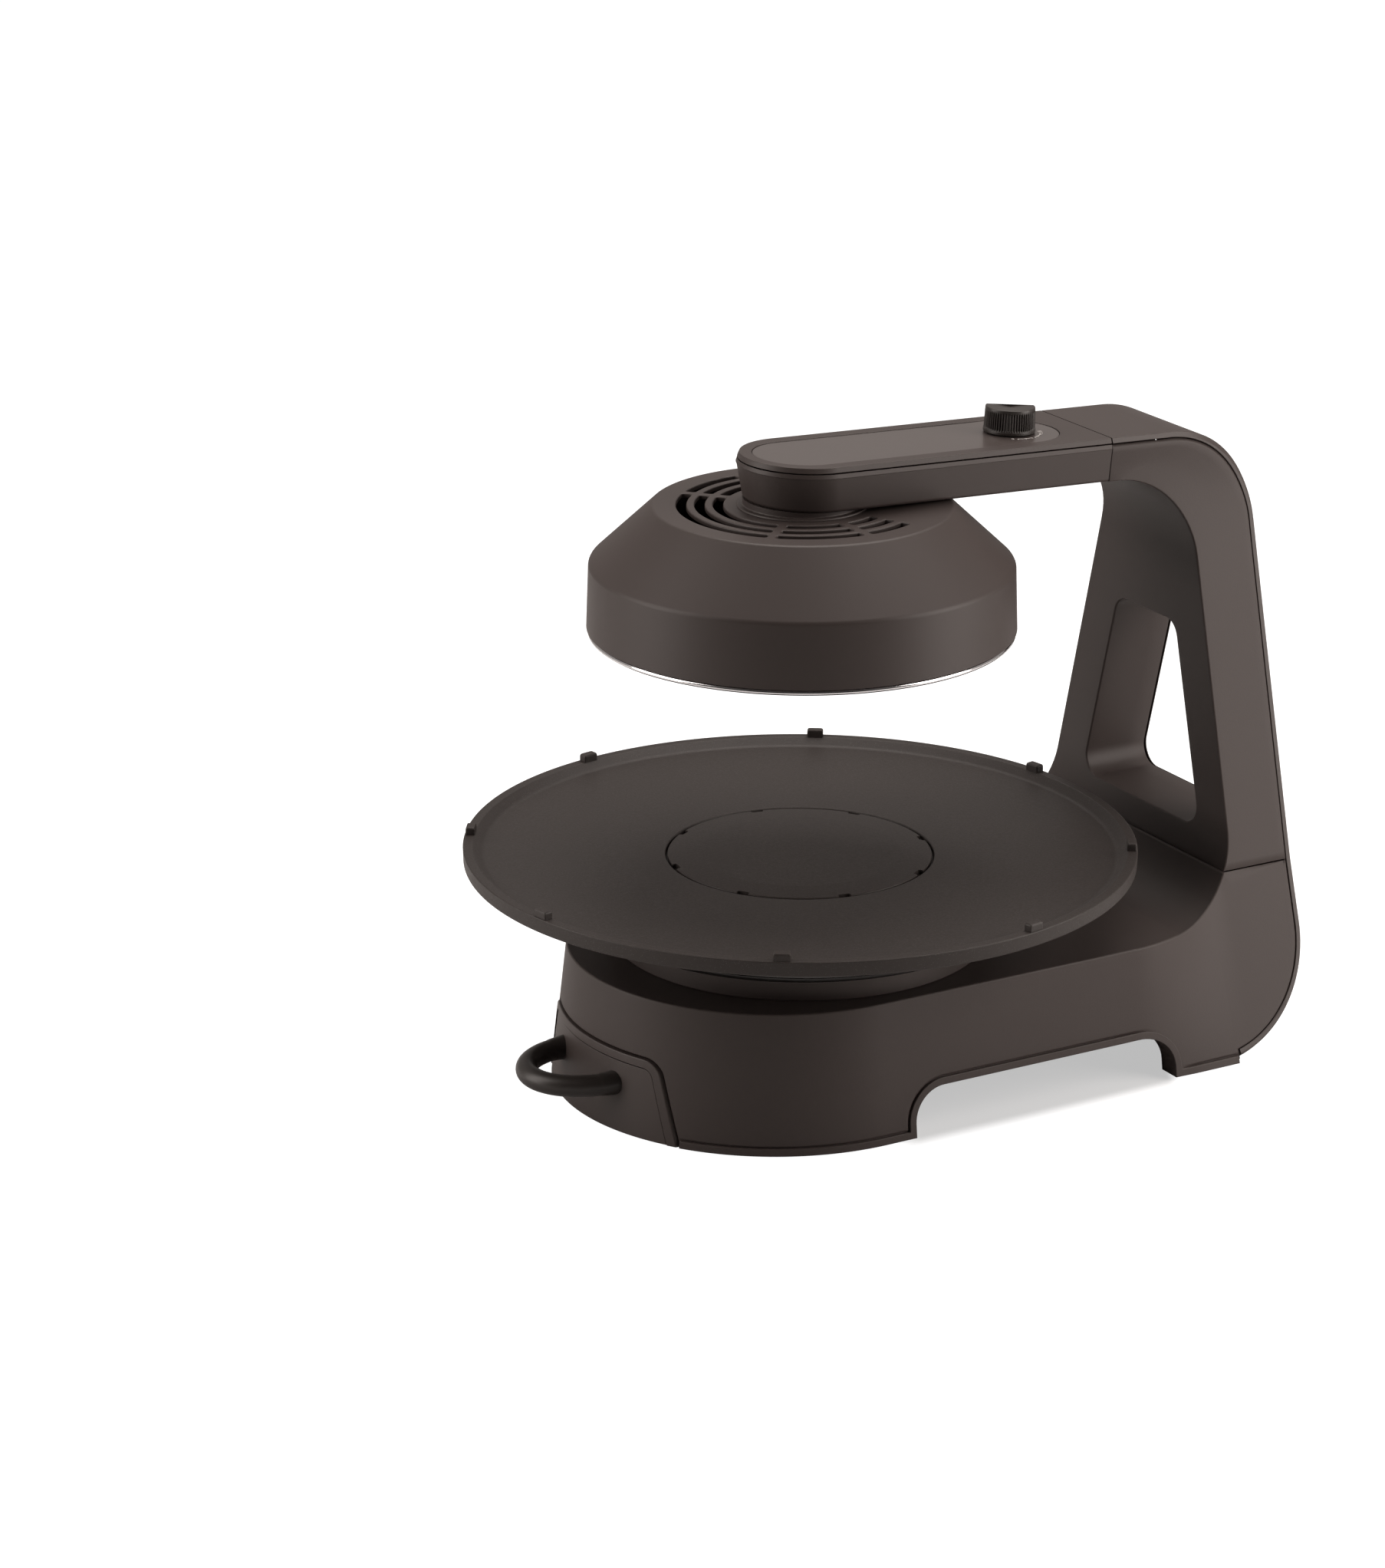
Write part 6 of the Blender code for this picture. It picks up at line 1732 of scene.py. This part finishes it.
@dataclass
class Pan:
    """The cast pan with its rim lugs, and the loose drain cover."""
    radius: float = 0.2000
    rim_z: float = 0.1425
    skirt: float = 0.0090
    seat_z: float = 0.1288
    well_r: float = 0.0800
    drain_r: float = 0.0100
    spout_z: float = 0.1180
    drain_z: float = 0.1320
    well_z: float = 0.1325
    step_z: float = 0.1350
    plate_edge: Pair = (0.1880, 0.1378)
    under_edge: Pair = (0.1400, 0.1312)
    lid_gap: float = 0.0015
    lid_top_z: float = 0.1362
    lid_low_z: float = 0.1328
    lid_foot: float = 0.0040
    lugs: int = 8
    lug_first_deg: float = 11.4
    lug_wide: float = 0.0100
    lug_deep: float = 0.0056
    lug_proud: float = 0.0045
    notch_half: float = 0.0040
    notch_r: float = 0.0015

    def build(self) -> None:
        """Build the pan and the drain cover."""
        self.cast()
        self.lid()

    def cast(self) -> None:
        """Build the pan: its profile turned, and the lugs round its rim."""
        r, rim, well = self.radius, self.rim_z, self.well_r
        drain, spout, low = self.drain_r, self.drain_r + 0.0030, rim - self.skirt
        corners = [(drain, self.spout_z), (drain, self.drain_z), (well - 0.0006, self.well_z),
                   (well, self.step_z), self.plate_edge, (r - 0.0058, rim), (r, rim), (r - 0.0002, low),
                   (r - 0.0100, low), self.under_edge, (Turntable.drum_r - 0.0020, self.seat_z),
                   (spout, self.seat_z), (spout, self.spout_z)]
        radii = [0, 0.001, 0.0006, 0.0010, 0.006, 0.0016, 0.0007, 0.0012, 0.003, 0.004, 0.004, 0, 0]
        profile = softened(corners, radii, 6)
        skin = Skin().torus(turned(profile, 256))
        for i in range(self.lugs):
            skin.loft(self.lug(math.radians(self.lug_first_deg + 360 / self.lugs * i)))
        Piece("pan_cast", FINISHES.nonstick, Body.PAN, Slot.NONSTICK, ["grill_pan"], sharp=48).show(skin)

    def lid(self) -> None:
        """Build the drain cover, a low dome with notches round its edge between the lugs' directions."""
        edge = self.well_r - self.lid_gap
        foot = edge - self.lid_foot
        corners = [(0.0, self.lid_top_z), (0.0600, self.lid_top_z - 0.0004), (edge, self.step_z),
                   (edge, self.lid_low_z), (foot, self.lid_low_z), (foot, self.lid_low_z + 0.0010),
                   (0.0, self.lid_top_z - 0.0017)]
        profile = softened(corners, [0, 0.02, 0.0007, 0.0003, 0, 0, 0], 6)
        skin = Skin().grid(turned(profile, 160), wrap_cols=True)
        cutters = []
        box = rounded_box(self.notch_half, self.notch_half, self.notch_r)
        for i in range(self.lugs):
            along = heading(math.radians(self.lug_first_deg + 360 / self.lugs * (i + 0.5)))
            side = np.array((-along[1], along[0]))
            flat = (box[:, :1] + edge + 0.001) * along + box[:, 1:] * side
            cutters.append(Skin().loft([lifted(flat, z) for z in (0.129, 0.139)]))
        Piece("drain_lid", FINISHES.nonstick, Body.DRAIN_COVER, Slot.NONSTICK, ["drain_cover"], sharp=48,
              cutters=cutters).show(skin)

    def lug(self, angle: float) -> Array:
        """A lug: a rounded block whose outer face is flush with the pan's skirt.

        Args:
            angle: its direction from the pan's axis, in radians.

        Returns:
            Closed loops from its foot to its top.
        """
        inner = self.radius - 0.0008 - self.lug_deep
        middle = inner + self.lug_deep / 2
        rows = []
        for z, inset in ((-0.0025, 0.0), (self.lug_proud - 0.0014, 0.0), (self.lug_proud - 0.0007, 0.0002),
                         (self.lug_proud - 0.0002, 0.0006), (self.lug_proud, 0.0012)):
            box = rounded_box(self.lug_wide / 2 - inset, self.lug_deep / 2 - inset * 0.6, 0.0007, 6, 3)
            rows.append(lifted(bent(box, middle, angle), self.rim_z + z))
        return np.array(rows)


@dataclass
class Feet:
    """The four rubber feet."""
    centres: Pairs = ((-0.095, 0.0661), (-0.095, -0.0661), (0.214, 0.1080), (0.214, -0.1080))
    radius: float = 0.0090
    proud: float = 0.0020
    dish: float = 0.0006

    def build(self) -> None:
        """Build the feet as one piece: a shallow rounded pad each, with a dished middle."""
        dish, top = self.dish - self.proud, self.dish
        profile = softened([(0.0, dish), (0.0040, dish), (0.0050, -self.proud), (self.radius, -self.proud),
                            (self.radius, top), (0.0, top)], [0, 0.0005, 0.0004, 0.0008, 0.0003, 0], 4)
        skin = Skin()
        for centre in self.centres:
            skin.grid(turned(profile, 48, centre), wrap_cols=True)
        names = [f"foot_{name}" for name in ("front_left", "front_right", "rear_left", "rear_right")]
        Piece("rubber_feet", FINISHES.rubber, Body.FRAME, Slot.RUBBER, names).show(skin)


@dataclass
class CarriedNodes:
    """The frame's own solids that stay in view, and the finish of each."""
    finishes: dict[str, Finish] = field(default_factory=lambda: {
        "bottom_plate": FINISHES.inner, "drawer_guide": FINISHES.inner, "power_inlet": FINISHES.inner,
        "rotary_switch": FINISHES.inner, "drip_tray": FINISHES.polished, "bearing_ring": FINISHES.acetal,
        "terminal_block": FINISHES.ceramic, "thermal_cutout": FINISHES.zinc, "inlet_pin": FINISHES.brass,
        "heater_stand": FINISHES.ceramic, "plate_screw": FINISHES.zinc, "handle_screw": FINISHES.zinc,
        "neck_screw": FINISHES.zinc})

    def build(self) -> None:
        """Give each shown solid its finish."""
        for name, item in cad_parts.items():
            if item.hide_render:
                continue
            finish = next(finish for key, finish in self.finishes.items() if name.startswith(key))
            for slot in item.material_slots:
                slot.material = finish.material()
            log.info("%s: kept, %s", name, finish.name)


@dataclass(frozen=True)
class Softbox:
    """A softbox, placed from the grill's middle as the camera sees it; metres and watts."""
    name: str
    right: float
    towards: float
    up: float
    wide: float
    tall: float
    power: float


@dataclass
class Studio:
    """Camera, lamps, world and floor."""
    target: Floats = (-0.1192, 0.0, 0.1923)
    azimuth: float = -29.5086
    elevation: float = 19.0714
    distance: float = 2.6954
    lens: float = 106.16
    sensor: float = 36.0
    middle: Floats = (-0.02, 0.0, 0.2)
    softboxes: Sequence[Softbox] = (Softbox("left_softbox", -1.5, 0.25, 0.6, 1.0, 1.7, 22),
                                    Softbox("right_softbox", 1.5, 0.35, 0.4, 1.0, 1.7, 30),
                                    Softbox("top_softbox", 0.2, -0.55, 1.7, 1.6, 1.3, 31))
    warmth: Floats = (1.0, 0.92, 0.87, 1.0)
    white: Floats = (1.0, 1.0, 1.0, 1.0)
    dim_span: Floats = (-0.1, 0.95)
    dim_behind: float = 0.15
    dim_before: float = 0.005
    glossy_gain: float = 1.5
    floor_half: float = 4.0
    floor_tone: float = 0.72
    seen_tone: float = 0.30
    floor_glow: float = 0.99
    # Painted shadow: the floor's glow under the arch, and the direction and bounds of the band it fills
    painted_shadow_glow: float = 0.50
    painted_shadow_way: Floats = (0.870, -0.4925, 0.0)
    painted_shadow_across: Pairs = ((0.014, 0.030), (0.190, 0.180))
    painted_shadow_deep: Pairs = ((-0.143, -0.126), (0.140, 0.120))

    def back(self) -> Array:
        """Unit vector from the grill to the camera."""
        a, e = math.radians(self.azimuth), math.radians(self.elevation)
        return np.array((math.sin(a) * math.cos(e), -math.cos(a) * math.cos(e), math.sin(e)))

    def build(self) -> None:
        """Set up the view and the light."""
        self.camera()
        self.world()
        self.floor()
        for box in self.softboxes:
            self.lamp(box)

    @staticmethod
    def aim(item: bpy.types.Object, way: Array) -> None:
        """Turn an object so that it faces a direction."""
        item.rotation_euler = Vector(way).to_track_quat("-Z", "Y").to_euler()

    def camera(self) -> None:
        """Place the camera, its lens measured along the picture's long side."""
        data = bpy.data.cameras.new("camera")
        data.lens = self.lens
        data.sensor_fit = "VERTICAL"
        data.sensor_height = data.sensor_width = self.sensor
        item = new_object("camera", data)
        item.location = np.array(self.target) + self.back() * self.distance
        self.aim(item, -self.back())
        bpy.context.scene.camera = item

    def lamp(self, box: Softbox) -> None:
        """Add a softbox that faces the grill's middle."""
        a = math.radians(self.azimuth)
        right, towards = np.array((math.cos(a), math.sin(a), 0.0)), np.array((math.sin(a), -math.cos(a), 0.0))
        offset = box.right * right + box.towards * towards + (0.0, 0.0, box.up)
        data = bpy.data.lights.new(box.name, "AREA")
        data.shape = "RECTANGLE"
        data.size, data.size_y = box.wide, box.tall
        data.energy = box.power
        data.color = self.warmth[:3]
        item = new_object(box.name, data)
        item.location = self.middle + offset
        self.aim(item, -offset)

    def world(self) -> None:
        """Build the world: white where it is seen, dim light elsewhere, dimmest from the camera's side."""
        world = bpy.data.worlds.new("studio")
        world.use_nodes = True
        bpy.context.scene.world = world
        nodes = Nodes(world.node_tree)
        nodes.tree.nodes.clear()
        seen = nodes.seen()
        ahead = self.back()[:2] / np.linalg.norm(self.back()[:2])
        side = nodes.along(nodes.add("TexCoord").outputs["Generated"], (*ahead, 0.0))
        fall = nodes.step(side, *self.dim_span, self.dim_behind, self.dim_before)
        glossy = nodes.add("LightPath").outputs["Is Glossy Ray"]
        gain = nodes.math("MULTIPLY_ADD", glossy, self.glossy_gain, 1.0)
        strength = nodes.math("MAXIMUM", nodes.math("MULTIPLY", fall, gain), seen)
        tint = nodes.mix(seen, self.warmth, self.white)
        shade = nodes.add("Background", {"Color": tint, "Strength": strength})
        nodes.add("OutputWorld", {"Surface": shade.outputs[0]})

    def floor(self) -> None:
        """Build the floor, a wide sheet below the feet."""
        side = np.linspace(-self.floor_half, self.floor_half, 9)
        x, y = np.meshgrid(side, side)
        mesh = Skin().grid(np.stack([x, y, np.zeros_like(x)], -1) - ORIGIN).mesh("floor")
        item = new_object("floor", mesh)
        mesh.materials.append(self.paper())
        if mesh.polygons[0].normal.z < 0:
            mesh.flip_normals()

    def paper(self) -> bpy.types.Material:
        """Make the floor's paper: white to the camera, and under the grill's arch a painted shadow over the
        real one.
        """
        material = bpy.data.materials.new("white_floor_paper")
        material.use_nodes = True
        nodes = Nodes(material.node_tree)
        nodes.tree.nodes.clear()
        seen = nodes.seen()
        place = nodes.add("TexCoord").outputs["Object"]
        # Painted shadow: a smooth mask over a band beside the base's side, seen through the arch, lowers the
        # floor's glow there to grey; the lamps' real shadow falls in the same place
        across = nodes.along(place, self.painted_shadow_way)
        deep = nodes.add("SeparateXYZ", {0: place}).outputs[1]
        under = nodes.step(across, *self.painted_shadow_across[0])
        for value, ends in ((across, self.painted_shadow_across[1]), (deep, self.painted_shadow_deep[0]),
                            (deep, self.painted_shadow_deep[1])):
            under = nodes.math("MULTIPLY", under, nodes.step(value, *ends))
        glow = nodes.math("MULTIPLY", seen, nodes.remap(under, self.floor_glow, self.painted_shadow_glow))
        tone = nodes.remap(seen, self.floor_tone, self.seen_tone)
        matt = nodes.add("BsdfDiffuse", {"Color": tone}).outputs[0]
        shine = nodes.add("Emission", {"Color": self.white, "Strength": glow}).outputs[0]
        both = nodes.add("AddShader", {0: matt, 1: shine}).outputs[0]
        nodes.add("OutputMaterial", {"Surface": both})
        return material


def main() -> None:
    """Build the grill's parts in order, then the studio."""
    logging.basicConfig(level=logging.INFO, format="%(name)s: %(message)s")
    bpy.context.scene.view_settings.view_transform = "Standard"
    for part in (Base(), Post(), Screws(), Drawer(), Arm(), Knob(), LampHead(), Turntable(), Pan(), Feet(),
                 CarriedNodes(), Studio()):
        part.build()


if __name__ == "__main__":
    main()
